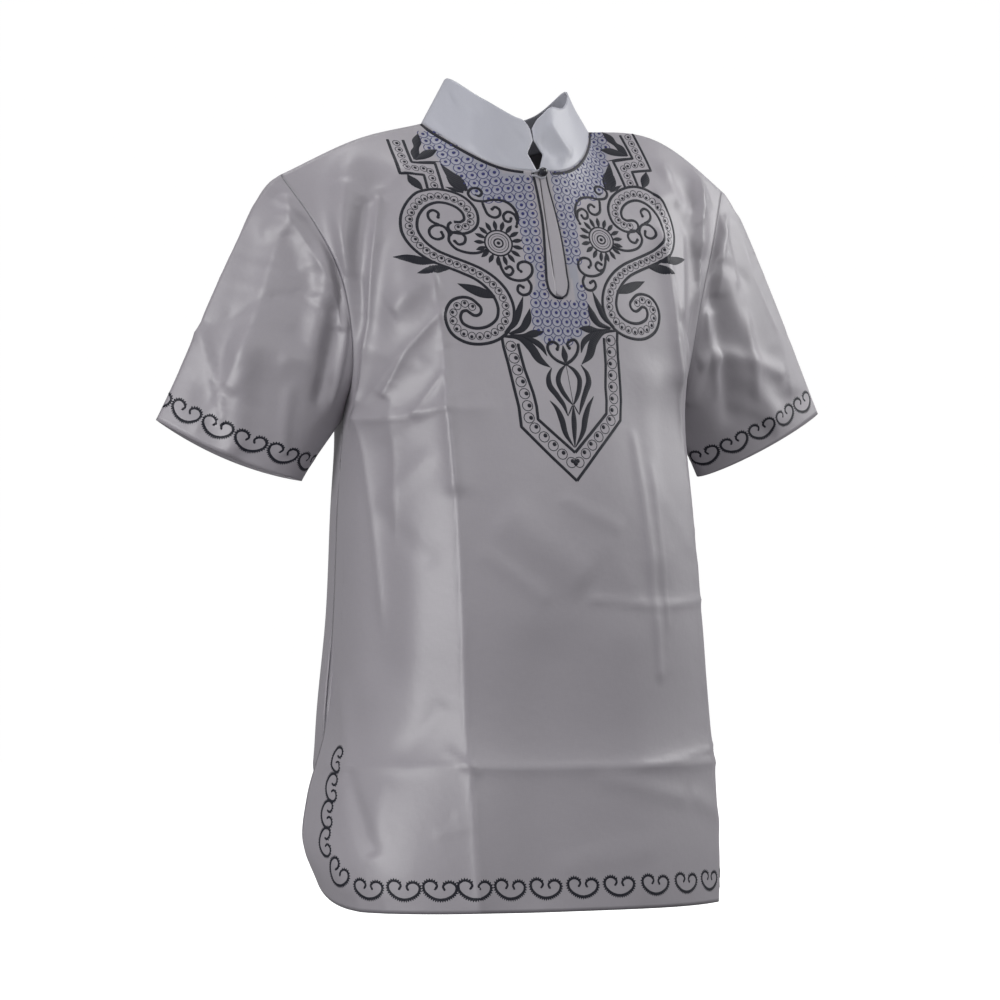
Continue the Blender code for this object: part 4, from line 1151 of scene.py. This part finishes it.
def find_on_panel(cut, p, q):
    """The same on a flat cut: from the nearest of a few points, step by step."""
    coarse = cut[::SEARCH_STRIDE, ::SEARCH_STRIDE]
    wide = coarse.shape[1]
    flat = coarse.reshape(-1, 2)
    row = np.empty(len(p))
    column = np.empty(len(p))
    for start in range(0, len(p), SEARCH_BLOCK):
        part = slice(start, start + SEARCH_BLOCK)
        gap = (p[part, None] - flat[:, 0]) ** 2 + (q[part, None] - flat[:, 1]) ** 2
        best = np.argmin(gap, axis=1)
        row[part] = best // wide * SEARCH_STRIDE
        column[part] = best % wide * SEARCH_STRIDE
    by_row = np.gradient(cut, axis=0)
    by_column = np.gradient(cut, axis=1)
    for _ in range(SEARCH_ROUNDS):
        off_p, off_q = (np.stack([p, q], axis=1) - sample(cut, row, column)).T
        a = sample(by_column, row, column)
        b = sample(by_row, row, column)
        scale = a[:, 0] * b[:, 1] - a[:, 1] * b[:, 0]
        scale = np.where(np.abs(scale) < 1e-9, 1e-9, scale)
        over = np.clip((off_p * b[:, 1] - off_q * b[:, 0]) / scale, -SEARCH_STEP, SEARCH_STEP)
        down = np.clip((off_q * a[:, 0] - off_p * a[:, 1]) / scale, -SEARCH_STEP, SEARCH_STEP)
        column = np.clip(column + over, 0, cut.shape[1] - 1)
        row = np.clip(row + down, 0, cut.shape[0] - 1)
    return row, column


# The chest ornament, drawn for the wearer's left and mirrored. Places are in cm: u out
# from the ornament's middle line, v up from the shoulder's neck end
MIDDLE_LINE = ((-38.7, 0.15), (-36.0, 0.2), (-31.0, 0.5), (-25.0, 0.15), (-20.0, 0.3),
               (-15.0, 0.45), (-7.0, 0.3))
LEFT_LIFT = 0.5
LEFT_LIFT_SPAN = 4.0

# Scroll band: u, v and half of its width
SCROLL = (
    (9.85, -12.45, 0.62), (9.0, -12.5, 0.66), (8.1, -11.9, 0.70), (7.95, -10.9, 0.74),
    (8.5, -9.8, 0.78), (9.6, -9.05, 0.78), (11.0, -8.8, 0.78), (12.4, -9.25, 0.80),
    (13.5, -10.25, 0.80), (14.2, -11.6, 0.80), (14.3, -13.0, 0.78), (13.7, -14.4, 0.76),
    (12.5, -15.5, 0.70), (11.0, -16.25, 0.66), (9.5, -16.9, 0.66), (8.1, -17.6, 0.68),
    (6.9, -18.6, 0.74), (6.0, -19.9, 0.78), (5.65, -21.3, 0.80), (5.95, -22.6, 0.80),
    (6.9, -23.5, 0.80), (8.2, -23.9, 0.78), (9.6, -23.75, 0.78), (10.7, -23.0, 0.76),
    (11.0, -21.9, 0.74), (10.5, -20.95, 0.70), (9.5, -20.75, 0.66), (8.75, -21.3, 0.60),
)
ZIGZAG = ((12.95, -1.7), (13.15, -5.55), (10.75, -5.55), (10.85, -8.0))
ZIGZAG_HALF = 0.78
TONGUE_OUTER = ((6.25, -24.0), (5.95, -26.6), (5.75, -29.6), (5.45, -33.0), (0.0, -38.7))
TONGUE_INNER = ((4.65, -24.7), (4.4, -27.3), (3.95, -29.7), (3.75, -32.3), (0.0, -35.9))

# Curls: each is a line of u, v, from its stem to its eye
CURLS = (
    ((11.2, -12.15), (11.75, -11.95), (12.2, -11.5), (12.15, -10.8), (11.6, -10.5),
     (11.15, -10.85), (11.25, -11.3)),
    ((11.2, -12.2), (11.9, -12.3), (12.4, -12.85), (12.3, -13.5), (11.7, -13.8),
     (11.1, -13.5), (11.2, -13.0)),
    ((11.5, -12.15), (10.9, -12.35), (10.5, -13.0), (10.6, -14.0), (10.1, -14.8),
     (9.1, -15.25), (8.0, -15.3), (7.0, -14.95)),
    ((10.55, -13.5), (10.1, -13.05), (9.4, -13.05), (8.95, -13.6), (9.15, -14.2),
     (9.75, -14.35), (10.05, -14.0)),
    ((7.0, -8.7), (6.6, -8.95), (6.25, -8.6), (6.5, -8.1), (7.2, -8.05), (7.65, -8.6),
     (7.35, -9.25), (6.5, -9.55), (5.2, -9.5), (4.1, -9.85), (3.4, -10.7), (3.2, -11.7),
     (3.5, -12.6)),
    ((6.45, -9.6), (6.35, -10.3), (6.1, -11.1), (5.5, -11.45), (4.95, -11.2),
     (4.9, -10.6), (5.3, -10.3), (5.6, -10.5)),
    ((3.25, -12.2), (3.6, -11.2), (4.15, -10.95), (4.6, -11.3), (4.5, -11.9),
     (4.05, -12.0), (3.9, -11.7)),
    ((5.85, -16.0), (5.7, -17.0), (5.2, -17.9), (4.2, -18.3), (3.2, -18.15), (2.6, -17.5),
     (2.65, -16.7), (3.3, -16.35), (3.95, -16.6), (4.0, -17.1), (3.75, -17.35)),
    ((5.5, -17.55), (4.9, -17.7), (4.55, -17.25), (4.85, -16.8), (5.25, -17.0)),
    ((3.2, -18.15), (2.85, -18.9), (3.15, -19.65), (3.8, -19.8), (4.3, -19.35),
     (4.1, -18.8), (3.7, -19.0)),
)

# Leaves and petals: a line of u, v and its full width there
LEAVES = (
    ((12.2, -16.35, 0.25), (13.6, -16.25, 0.85), (15.0, -15.95, 0.75), (16.3, -15.65, 0.05)),
    ((10.9, -16.95, 0.3), (12.1, -17.15, 0.95), (13.2, -17.45, 0.7), (14.1, -17.65, 0.05)),
    ((6.7, -20.0, 0.35), (7.9, -19.6, 1.0), (9.2, -19.1, 0.8), (10.3, -18.65, 0.05)),
    ((12.2, -8.2, 0.2), (12.6, -7.6, 0.95), (13.0, -7.1, 0.9), (13.3, -6.45, 0.05)),
    ((11.9, -4.4, 0.2), (11.5, -3.4, 0.85), (11.15, -2.75, 0.55), (10.8, -1.9, 0.9),
     (10.35, -0.9, 0.08)),
    ((11.8, -4.4, 0.1), (10.9, -3.9, 0.75), (10.0, -3.4, 0.85), (9.1, -3.0, 0.05)),
    ((11.6, -4.65, 0.14), (10.4, -4.6, 0.18), (9.2, -4.6, 0.06)),
    ((8.0, -8.3, 0.5), (8.3, -7.3, 1.35), (8.9, -6.1, 0.85), (9.4, -4.85, 0.06)),
    ((8.3, -8.2, 0.3), (8.9, -7.4, 0.6), (9.3, -6.5, 0.05)),
    ((8.1, -8.45, 0.2), (8.9, -8.1, 0.45), (9.75, -7.75, 0.05)),
    ((7.7, -8.3, 0.3), (7.85, -7.4, 0.5), (8.0, -6.6, 0.05)),
    ((5.95, -23.6, 0.15), (4.95, -22.7, 0.6), (4.3, -21.3, 0.6), (3.8, -19.9, 0.05)),
    ((5.5, -23.7, 0.15), (4.1, -23.2, 0.65), (3.5, -22.3, 0.75), (3.2, -21.2, 0.06)),
    ((5.4, -23.8, 0.15), (4.0, -23.9, 0.35), (2.9, -23.75, 0.75), (1.9, -23.6, 0.06)),
    ((6.1, -23.95, 0.2), (4.5, -24.15, 0.5), (3.4, -25.1, 0.85), (2.7, -26.4, 0.75),
     (1.7, -27.25, 0.06)),
    ((4.1, -24.0, 0.1), (3.2, -24.4, 0.5), (2.3, -25.1, 0.55), (1.85, -26.1, 0.06)),
    ((0.02, -27.1, 0.1), (0.75, -27.75, 0.4), (1.15, -28.6, 0.52), (0.95, -29.6, 0.5),
     (0.42, -30.6, 0.35), (0.08, -31.1, 0.12)),
    ((1.6, -27.3, 0.08), (2.1, -28.2, 0.45), (2.15, -28.95, 0.6), (1.6, -30.0, 0.55),
     (1.0, -31.1, 0.42), (0.62, -32.2, 0.06)),
    ((0.62, -32.2, 0.06), (0.35, -31.7, 0.14), (0.1, -31.2, 0.1)),
    ((2.4, -30.5, 0.06), (1.75, -31.4, 0.42), (1.3, -32.5, 0.62), (0.95, -33.9, 0.5),
     (0.06, -35.4, 0.06)),
)
MIDDLE_LEAVES = (
    ((0.0, -27.0, 0.2), (0.02, -26.3, 0.75), (0.0, -25.2, 0.12)),
    ((0.0, -31.2, 0.1), (0.0, -32.5, 0.6), (0.0, -34.0, 0.5), (0.0, -35.4, 0.08)),
)
CHEST_HEART = ((0.66, -25.5), (0.5, -25.15), (0.85, -24.8), (1.35, -24.75), (1.65, -25.2),
               (1.5, -25.9), (0.9, -26.6), (0.0, -27.1))
STEM = ((0.0, -27.1), (0.0, -31.2))
TIP_DOT = (0.0, -36.95)

# The rosette: its middle, its rings by radius, width, height and steps, and its petals by
# distance from the middle and width
ROSETTE = (5.65, -14.25)
ROSETTE_RINGS = (
    (0.46, 0.20, 0.045, 20), (0.78, 0.08, 0.03, 20), (1.04, 0.12, 0.04, 28),
    (1.38, 0.22, 0.045, 36),
)
ROSETTE_PETALS = 17
ROSETTE_TURN = 0.3
PETAL = ((1.42, 0.16), (1.75, 0.46), (2.1, 0.48), (2.5, 0.06))

# Rings in a row with a dot beside the middle of each, in cm
Beads = namedtuple("Beads", "pitch radius width dot aside")
SCROLL_BEADS = Beads(0.79, 0.36, 0.11, 0.19, -0.10)
ZIGZAG_BEADS = Beads(0.82, 0.36, 0.11, 0.19, 0.05)
TONGUE_BEADS = Beads(1.18, 0.52, 0.12, 0.24, -0.20)

# Corners of the scale ground on one side
SCALE_GROUND = (
    (0.0, -7.3), (3.8, -6.8), (6.7, -4.3), (8.6, -1.5), (9.1, -0.4), (10.0, -0.7),
    (10.1, -3.0), (9.2, -4.7), (8.6, -5.9), (7.9, -7.7), (6.6, -9.4), (4.0, -9.7),
    (3.2, -10.9), (3.1, -12.9), (2.9, -15.6), (2.5, -16.9), (2.3, -18.4), (2.9, -20.2),
    (3.0, -21.5), (2.9, -23.5), (2.2, -24.6), (0.0, -25.1),
)
SCALE_PITCH = 1.04
SCALE_ROW = 0.93
SCALE_ROWS = 30
SCALES_ASIDE = 11
SCALES_FROM = (0.3, -0.6)
# The room that the slit's strip takes from the scales
STRIP_CLEAR_LOW = -20.9
STRIP_CLEAR_RIGHT = -1.25
STRIP_CLEAR_LEFT = 1.35
STRIP_CLEAR_TOP = -7
STRIP_LEAN = 0.05

# A scale's two arcs: radii across and up, from and to in half turns, points, width,
# height and thread; and its dot's place, radius and height
SCALE_UP = 0.1
SCALE_ARCS = (
    ((0.5, 0.48), 0.68, 2.32, 15, 0.132, 0.025, VIOLET),
    ((0.30, 0.32), 0.97, 2.03, 9, 0.16, 0.02, PALE),
)
SCALE_DOT = (0.06, 0.14, 0.2, 0.05)

LINE_WIDE = 0.35
CURL_WIDE = 0.34
LEAF_FULLNESS = 1.15
LEAF_HEIGHT = 0.05
PETAL_HEIGHT = 0.045
HEART_LINE_HEIGHT = 0.07
STEM_WIDE = 0.08
STEM_RING = (0.12, 0.07)
# Radii of the dots at a curl's eye, at a heart's end and a rosette's middle, and at the tip
CURL_DOT = 0.2
MIDDLE_DOT = 0.22
TIP_DOT_RADIUS = 0.3
ROUND_END_STEPS = 9


def on_chest(line, side):
    """A line of the ornament's u, v as p, q of the front's cut, on one side."""
    line = np.array(line, float)
    middle = np.interp(line[:, 1], *zip(*MIDDLE_LINE))
    u = line[:, 0] * side
    line[:, 1] += LEFT_LIFT * np.tanh(u / LEFT_LIFT_SPAN)
    line[:, 0] = u + middle
    return line


def rounded_outline(line, half):
    """The outline beside a line on both sides, with round ends."""
    left = beside(line, half)
    right = beside(line, -half)
    turn = np.linspace(0, math.pi, ROUND_END_STEPS)[1:-1]
    ends = []
    for centre, start in ((line[-1, :2], left[-1]), (line[0, :2], right[0])):
        u, v = start - centre
        around = [u * np.cos(turn) + v * np.sin(turn), v * np.cos(turn) - u * np.sin(turn)]
        ends.append(centre + np.stack(around, axis=1))
    return np.concatenate([left, ends[0], right[::-1], ends[1]])


def inside(corners, p, q):
    """Whether each point lies inside a closed outline."""
    crossed = np.zeros(len(p), bool)
    for (p0, q0), (p1, q1) in zip(corners, np.roll(corners, -1, axis=0)):
        spans = (q0 > q) != (q1 > q)
        at = p0 + (q - q0) / (q1 - q0 if q1 != q0 else 1e-9) * (p1 - p0)
        crossed ^= spans & (p < at)
    return crossed


def eased(line, width):
    """A width that narrows at both ends of a line, over about a twentieth of it."""
    share = np.linspace(0, 1, len(line))
    ease = np.minimum((share + 0.02) / 0.06, (1.02 - share) / 0.05)
    return width * np.clip(ease, 0.15, 1)


def mitred(corners, offset):
    """A broken line moved to its left, with its corners kept sharp."""
    corners = np.asarray(corners, float)
    run = np.diff(corners, axis=0)
    run /= np.linalg.norm(run, axis=1, keepdims=True)
    left = np.stack([-run[:, 1], run[:, 0]], axis=1)
    moved = [corners[0] + left[0] * offset]
    for before, after, corner in zip(left, left[1:], corners[1:-1]):
        both = before + after
        moved.append(corner + both * offset / max(0.2, (both * before).sum()))
    moved.append(corners[-1] + left[-1] * offset)
    return np.array(moved)


def work_chest(hoop):
    """The whole chest ornament on the front."""
    for side in (-1, 1):
        scroll = on_chest(smooth_line(SCROLL), side)
        hoop.band(even_out(rounded_outline(scroll, scroll[:, 2])), LINE_WIDE)
        hoop.bead_chain(scroll, SCROLL_BEADS, side)
        for way in (-1, 1):
            edge = broken_line(mitred(ZIGZAG, ZIGZAG_HALF * way))
            hoop.band(on_chest(edge, side), LINE_WIDE)
        hoop.bead_chain(on_chest(broken_line(ZIGZAG), side), ZIGZAG_BEADS)
        for edge in (TONGUE_OUTER, TONGUE_INNER):
            hoop.band(on_chest(broken_line(edge), side), LINE_WIDE)
        middle = (np.array(TONGUE_OUTER) + TONGUE_INNER) / 2
        hoop.bead_chain(on_chest(broken_line(middle), side), TONGUE_BEADS, side)
        for curl in CURLS:
            line = on_chest(smooth_line(curl), side)
            hoop.band(line, eased(line, CURL_WIDE))
            hoop.dot(line[-1], CURL_DOT)
        for leaf in LEAVES:
            line = on_chest(smooth_line(leaf), side)
            hoop.band(line, line[:, 2] * LEAF_FULLNESS, LEAF_HEIGHT)
        line = on_chest(smooth_line(CHEST_HEART), side)
        hoop.band(line, LINE_WIDE, HEART_LINE_HEIGHT)
        hoop.dot(line[0], MIDDLE_DOT)
        work_rosette(hoop, on_chest([ROSETTE], side)[0])
    for leaf in MIDDLE_LEAVES:
        line = on_chest(smooth_line(leaf), 1)
        hoop.band(line, line[:, 2], LEAF_HEIGHT)
    hoop.band(on_chest(broken_line(STEM), 1), STEM_WIDE)
    hoop.ring(on_chest(STEM, 1)[-1], *STEM_RING)
    hoop.dot(on_chest([TIP_DOT], 1)[0], TIP_DOT_RADIUS)


def work_rosette(hoop, centre):
    """A dot, four rings and a wheel of short petals."""
    hoop.dot(centre, MIDDLE_DOT)
    for radius, width, height, count in ROSETTE_RINGS:
        hoop.ring(centre, radius, width, height, count)
    for k in range(ROSETTE_PETALS):
        turn = 2 * math.pi * (k + ROSETTE_TURN) / ROSETTE_PETALS
        out = np.array([math.cos(turn), math.sin(turn)])
        line = smooth_line([(*(centre + out * reach), width) for reach, width in PETAL])
        hoop.band(line, line[:, 2], PETAL_HEIGHT)


def work_scales(hoop):
    """Rows of fine scales with a dot in each, on the yoke and beside the slit's strip."""
    outline = scale_outline()
    for row in range(SCALE_ROWS):
        q = SCALES_FROM[1] - row * SCALE_ROW
        for column in range(-SCALES_ASIDE, SCALES_ASIDE + 1):
            p = (column + 0.5) * SCALE_PITCH + SCALES_FROM[0]
            if not inside(outline, np.array([p]), np.array([q]))[0] or on_strip(p, q):
                continue
            for radii, start, end, count, width, height, thread in SCALE_ARCS:
                line = arc((p, q + SCALE_UP), radii, start, end, count)
                hoop.band(line, width, height, thread, across=2)
            aside, up, radius, height = SCALE_DOT
            hoop.dot((p + aside, q + up), radius, height, VIOLET)


def on_strip(p, q):
    """Whether a scale at p, q would meet the strip round the slit, which leans to the left."""
    left = STRIP_CLEAR_LEFT + STRIP_LEAN * (STRIP_CLEAR_TOP - q)
    return (STRIP_CLEAR_LOW < q) & (STRIP_CLEAR_RIGHT < p) & (p < left)


def scale_ground(cut):
    """1 where the cloth lies under the scales, else 0."""
    p, q = cut[:, :, 0].ravel(), cut[:, :, 1].ravel()
    found = inside(scale_outline(), p, q)
    return (found & ~on_strip(p, q)).astype(float).reshape(cut.shape[:2])


def scale_outline():
    """The outline of the scale ground on both sides, in p, q."""
    half = broken_line(SCALE_GROUND, 0.4)
    return np.concatenate([on_chest(half, 1), on_chest(half, -1)[::-1]])


# Half of a border heart in cm, from its inner curl over the lobe to the round bottom
HEART = ((0.43, 0.08), (0.29, 0.36), (0.59, 0.72), (1.08, 0.77), (1.49, 0.43),
         (1.45, -0.07), (0.99, -0.56), (0.0, -0.88))
HEART_LINE = 0.26
HEART_TICK = 0.2
HEART_STEP = 0.10
HEART_HEIGHT = 0.04
HEART_END_DOT = (0.12, 0.05)
# Points at each end of a heart's line that have no ticks, but this
HEART_BARE = 6
HEART_BARE_TICK = 0.02
# How much wider the line gets towards the heart's bottom
HEART_SWELL = 0.2
# Hearts up the vents are wider across the edge than those of the hem
VENT_HEART_FULLNESS = 1.45

# Hearts along the front's border: p and q of the middle, turn in degrees and scale. The
# hem's are spaced as unevenly as the photograph shows, the vents' are the same mirrored
FRONT_HEM_HEARTS = (-22.2, -18.6, -15.2, -12.0, -8.5, -4.8, -1.0, 2.8, 6.8, 10.9, 14.9,
                    18.8, 22.5)
FRONT_VENT_HEARTS = (
    (-25.9, -76.3, -42, 0.90), (-27.9, -73.5, -84, 0.86), (-27.8, -70.9, -90, 0.82),
    (-27.2, -68.4, -92, 0.82), (-26.5, -65.8, -98, 0.76),
)
BACK_HEM_HEARTS = (-13.7, -10.3, -6.9, -3.4, 0.0, 3.4, 6.9, 10.3, 13.7)
BACK_VENT_HEARTS = (
    (-16.8, -76.4, -42, 0.90), (-18.6, -73.5, -84, 0.86), (-18.5, -70.8, -90, 0.84),
    (-17.9, -68.2, -92, 0.82), (-17.3, -65.6, -96, 0.78),
)
HEM_HEART_Q = -77.65
HEM_HEART_TURN = -5.0
CUFF_HEARTS = 10
CUFF_HEART_UP = 2.05


def border_heart(hoop, p, q, turn=0.0, scale=1.0, mirror=1, fullness=1.0):
    """One open heart of line stitch with ticks on its outer side."""
    half = np.array(HEART) * [scale, scale * fullness]
    line = smooth_line(np.concatenate([half * [-1, 1], half[-2::-1]]), HEART_STEP)
    index = np.arange(len(line))
    ticks = np.where(index % 2 == 0, HEART_TICK, 0.0)
    ticks[np.minimum(index, index[::-1]) < HEART_BARE] = HEART_BARE_TICK
    angle = math.radians(turn)
    spin = np.array([[math.cos(angle), -math.sin(angle)], [math.sin(angle), math.cos(angle)]])
    line = line @ spin.T * [mirror, 1] + [p, q]
    swell = 1 + HEART_SWELL * np.sin(np.linspace(0, math.pi, len(line))) ** 4
    inner = HEART_LINE / 2 * swell
    left, right = (inner, inner + ticks) if mirror > 0 else (inner + ticks, inner)
    hoop.band(line, right * 2, HEART_HEIGHT, left=left, across=2)
    for end in (line[0], line[-1]):
        hoop.dot(end, *HEART_END_DOT)


def work_border(hoop, hem_hearts, vent_hearts):
    """Hearts along a panel's hem, round its corners and up its vents."""
    for p in hem_hearts:
        border_heart(hoop, p, HEM_HEART_Q, HEM_HEART_TURN)
    for side in (1, -1):
        for p, q, turn, scale in vent_hearts:
            border_heart(hoop, p * side, q, turn, scale, side, VENT_HEART_FULLNESS)


def work_cuff(hoop, grid):
    """Hearts all round a cuff."""
    for k in range(CUFF_HEARTS):
        border_heart(hoop, (k + 0.5) * grid["round"] / CUFF_HEARTS, CUFF_HEART_UP)


# The strip round the neck slit, from its top on the wearer's right round the bottom; the
# slit itself runs at p 0
STRIP_OUTLINE = (
    (-0.62, -7.2), (-0.48, -8.6), (-0.38, -10.2), (-0.32, -12.7), (-0.5, -15.2),
    (-0.7, -17.4), (-0.78, -18.8), (-0.6, -19.7), (-0.05, -20.25), (0.45, -20.35),
    (1.0, -20.1), (1.4, -19.3), (1.45, -17.7), (1.4, -14.0), (1.12, -11.0), (0.8, -8.6),
    (0.72, -7.3),
)
SLIT_END = -18.4
SLIT_HALF = 0.07
STRIP_HEIGHT = 0.10
STRIP_LOW = -20.2
STRIP_TOP = -7.35
STRIP_ROWS = 72
STRIP_ACROSS = 6
# The slit opens to its whole width over a third of a cm
SLIT_TAPER = 3
STRIP_LEAST = 0.02
STRIP_OUTLINE_WIDE = 0.33
STRIP_OUTLINE_HEIGHT = 0.15
NECK_OUTLINE_WIDE = 0.34
NECK_OUTLINE_HEIGHT = 0.05
NECK_OUTLINE_IN = 0.24
# Points of the neckline left bare in front, where the collar's ends stand
NECK_BARE = (4, 5)


def work_strip(hoop):
    """The two halves of the slit's strip, which meet below the slit."""
    outline = smooth_line(STRIP_OUTLINE, 0.2)
    lowest = np.argmin(outline[:, 1])
    rise = np.linspace(STRIP_LOW, STRIP_TOP, STRIP_ROWS)
    gap = SLIT_HALF * np.clip((rise - SLIT_END) * SLIT_TAPER, 0, 1)
    none = np.zeros(len(rise))
    for half, way in ((outline[: lowest + 1][::-1], -1), (outline[lowest:], 1)):
        edge = np.interp(rise, half[:, 1], half[:, 0])
        seam = np.stack([way * gap, rise], axis=1)
        reach = np.maximum(np.abs(edge - seam[:, 0]), STRIP_LEAST)
        left, right = (reach, none) if way < 0 else (none, reach)
        hoop.band(seam, right * 2, STRIP_HEIGHT, across=STRIP_ACROSS, left=left, flat=True)


def work_outlines(hoop, grid):
    """The lines of satin stitch along the neckline and round the slit's strip."""
    hoop.band(smooth_line(STRIP_OUTLINE), STRIP_OUTLINE_WIDE, STRIP_OUTLINE_HEIGHT)
    middle = COLUMNS * FINENESS
    reach = NECK_COLUMN * FINENESS
    neck = grid["cut"][-1, middle - reach : middle + reach + 1]
    for part in (neck[: reach - NECK_BARE[0]], neck[reach + NECK_BARE[1] :]):
        line = beside(even_out(part), -NECK_OUTLINE_IN)
        hoop.band(line, NECK_OUTLINE_WIDE, NECK_OUTLINE_HEIGHT)


# The shirt: each sheet's place in the solids, and its flat cut in metres

grids = shirt_grids()
grids["front"]["yoke"] = scale_ground(grids["front"]["cut"])
# The cloth is tinted violet-grey under the scales, and darkened to #56545c along the seams as
# painted shade
body_cloth = poplin(
    "poly_cotton_poplin", "#949097", "#8f8b92", {"yoke": "#848591", "seam": "#56545c"}
)
collar_cloth = poplin("stiffened_poplin", "#adaeb8", "#a8a9b3")
Cut = namedtuple("Cut", "width length area slot material thickness", defaults=[
    "poplin", body_cloth, POPLIN_THICK,
])
CUTS = {
    "front": Cut(0.58, 0.80, 0.40),
    "back": Cut(0.58, 0.80, 0.41),
    "sleeve_right": Cut(0.44, 0.25, 0.080),
    "sleeve_left": Cut(0.44, 0.25, 0.080),
    "collar": Cut(0.44, 0.052, 0.0225, "collar_poplin", collar_cloth, COLLAR_THICK),
}
for name, cut in CUTS.items():
    grid = grids[name]
    if name != "collar":
        # A line of painted shade along the seams
        grid["seam"] = seam_painted_shade(grid)
    slit_row = SLIT_ROW * FINENESS if name == "front" else None
    piece = cloth_mesh(f"{name}_cloth", grid, [cut.material], cut.thickness, slit_row)
    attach(piece, "root")
    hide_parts(name)

# What is sewn on

threads = embroidery_threads()


def sewn(name, grid, work, *details):
    """Work an embroidery in a hoop and lay it on its cloth."""
    hoop = Hoop()
    work(hoop, *details)
    piece = hoop.laid_on(name, grid, threads)
    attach(piece, "root")


strip_hoop = Hoop("cut")
work_strip(strip_hoop)
strip = strip_hoop.laid_on("slit_strip", grids["front"], [body_cloth])
thickened(strip, POPLIN_THICK)
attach(strip, "root")
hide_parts("placket")

sewn("chest_embroidery", grids["front"], work_chest)
sewn("yoke_scale_embroidery", grids["front"], work_scales)
sewn("neck_outlines", grids["front"], work_outlines, grids["front"])
sewn("front_border_hearts", grids["front"], work_border, FRONT_HEM_HEARTS, FRONT_VENT_HEARTS)
sewn("back_border_hearts", grids["back"], work_border, BACK_HEM_HEARTS, BACK_VENT_HEARTS)
for name in ("sleeve_right", "sleeve_left"):
    sewn(f"{name}_cuff_hearts", grids[name], work_cuff, grids[name])
for name, material in (("button", dark_resin()), ("button_loop", rouleau_cord())):
    for slot in bpy.data.objects[name].material_slots:
        slot.material = material


# The studio

VIEW_TURN = math.radians(24)
VIEW_PITCH = math.atan(0.1 / 3.9)
VIEW_DISTANCE = 3.9
VIEW_HEIGHT = -0.478
VIEW_ASIDE = 0.005
FLOOR_HEIGHT = -1.02
FLOOR_REACH = 9.0
DOME_RADIUS = 13.0
LAMP_AIM = Vector((0, 0, -0.35))
RAYS = ("diffuse", "glossy", "transmission", "shadow")

camera_data = bpy.data.cameras.new("studio_camera")
camera_data.sensor_width = 36.0
camera_data.lens = 140.4
camera = added("studio_camera", camera_data)
look = Vector((math.sin(VIEW_TURN), math.cos(VIEW_TURN), 0))
aside = Vector((math.cos(VIEW_TURN), -math.sin(VIEW_TURN), 0))
camera.location = -look * VIEW_DISTANCE - aside * VIEW_ASIDE + Vector((0, 0, VIEW_HEIGHT))
sight = look * math.cos(VIEW_PITCH) + Vector((0, 0, math.sin(VIEW_PITCH)))
camera.rotation_euler = sight.to_track_quat("-Z", "Y").to_euler()
bpy.context.scene.camera = camera


def studio_wall(name, bm, material, unseen_by):
    """A surface of the studio that shines white, and that these rays don't meet."""
    wall = added(name, finished_mesh(name, bm, [material]))
    for ray in unseen_by:
        setattr(wall, f"visible_{ray}", False)


paper = shader_of(
    "matte_studio_floor", "#f4f4f5", 0.9,
    Emission_Color=linear("#ffffff"), Emission_Strength=0.96,
)[0]
bm = bmesh.new()
bmesh.ops.create_grid(bm, x_segments=1, y_segments=1, size=FLOOR_REACH)
bmesh.ops.translate(bm, verts=bm.verts, vec=(0, 0, FLOOR_HEIGHT))
studio_wall("studio_floor", bm, paper, RAYS[:3])

# A white dome that only the camera sees, so that the room's light stays soft and low
backdrop = shader_of(
    "white_studio_backdrop", "#000000", 1.0,
    Emission_Color=linear("#ffffff"), Emission_Strength=1.0,
)[0]
bm = bmesh.new()
bmesh.ops.create_icosphere(bm, subdivisions=4, radius=DOME_RADIUS)
bmesh.ops.reverse_faces(bm, faces=bm.faces)
studio_wall("studio_backdrop", bm, backdrop, RAYS)

world = bpy.data.worlds.new("studio_world")
bpy.context.scene.world = world
world.use_nodes = True
sky = world.node_tree.nodes["Background"]
sky.inputs["Color"].default_value = linear("#ffffff")
up = node(
    world.node_tree, "ShaderNodeSeparateXYZ", {}, {},
    {"Vector": (node(world.node_tree, "ShaderNodeTexCoord"), "Generated")},
)
brightness = node(
    world.node_tree, "ShaderNodeMapRange", {},
    {"From Min": -1.0, "From Max": 1.0, "To Min": 0.15, "To Max": 0.40},
    {"Value": (up, "Z")},
)
world.node_tree.links.new(brightness.outputs["Result"], sky.inputs["Strength"])
bpy.context.scene.view_settings.view_transform = "Standard"

# Soft boxes: place, size, power in watts; each looks at the shirt's middle
SoftBox = namedtuple("SoftBox", "name place size power")
SOFT_BOXES = (
    SoftBox("soft_box_right_side", (-2.8, -1.45, 0.15), 0.8, 54.0),
    SoftBox("soft_box_front", (0.8, -3.1, 1.4), 1.2, 21.0),
    SoftBox("soft_box_left_side", (2.6, -0.3, 1.0), 1.6, 52.0),
    SoftBox("soft_box_above", (-0.2, 0.4, 2.3), 1.2, 18.0),
)
for box in SOFT_BOXES:
    lamp = bpy.data.lights.new(box.name, "AREA")
    lamp.energy = box.power
    lamp.size = box.size
    holder = added(box.name, lamp)
    holder.location = box.place
    towards = LAMP_AIM - holder.location
    holder.rotation_euler = towards.to_track_quat("-Z", "Y").to_euler()
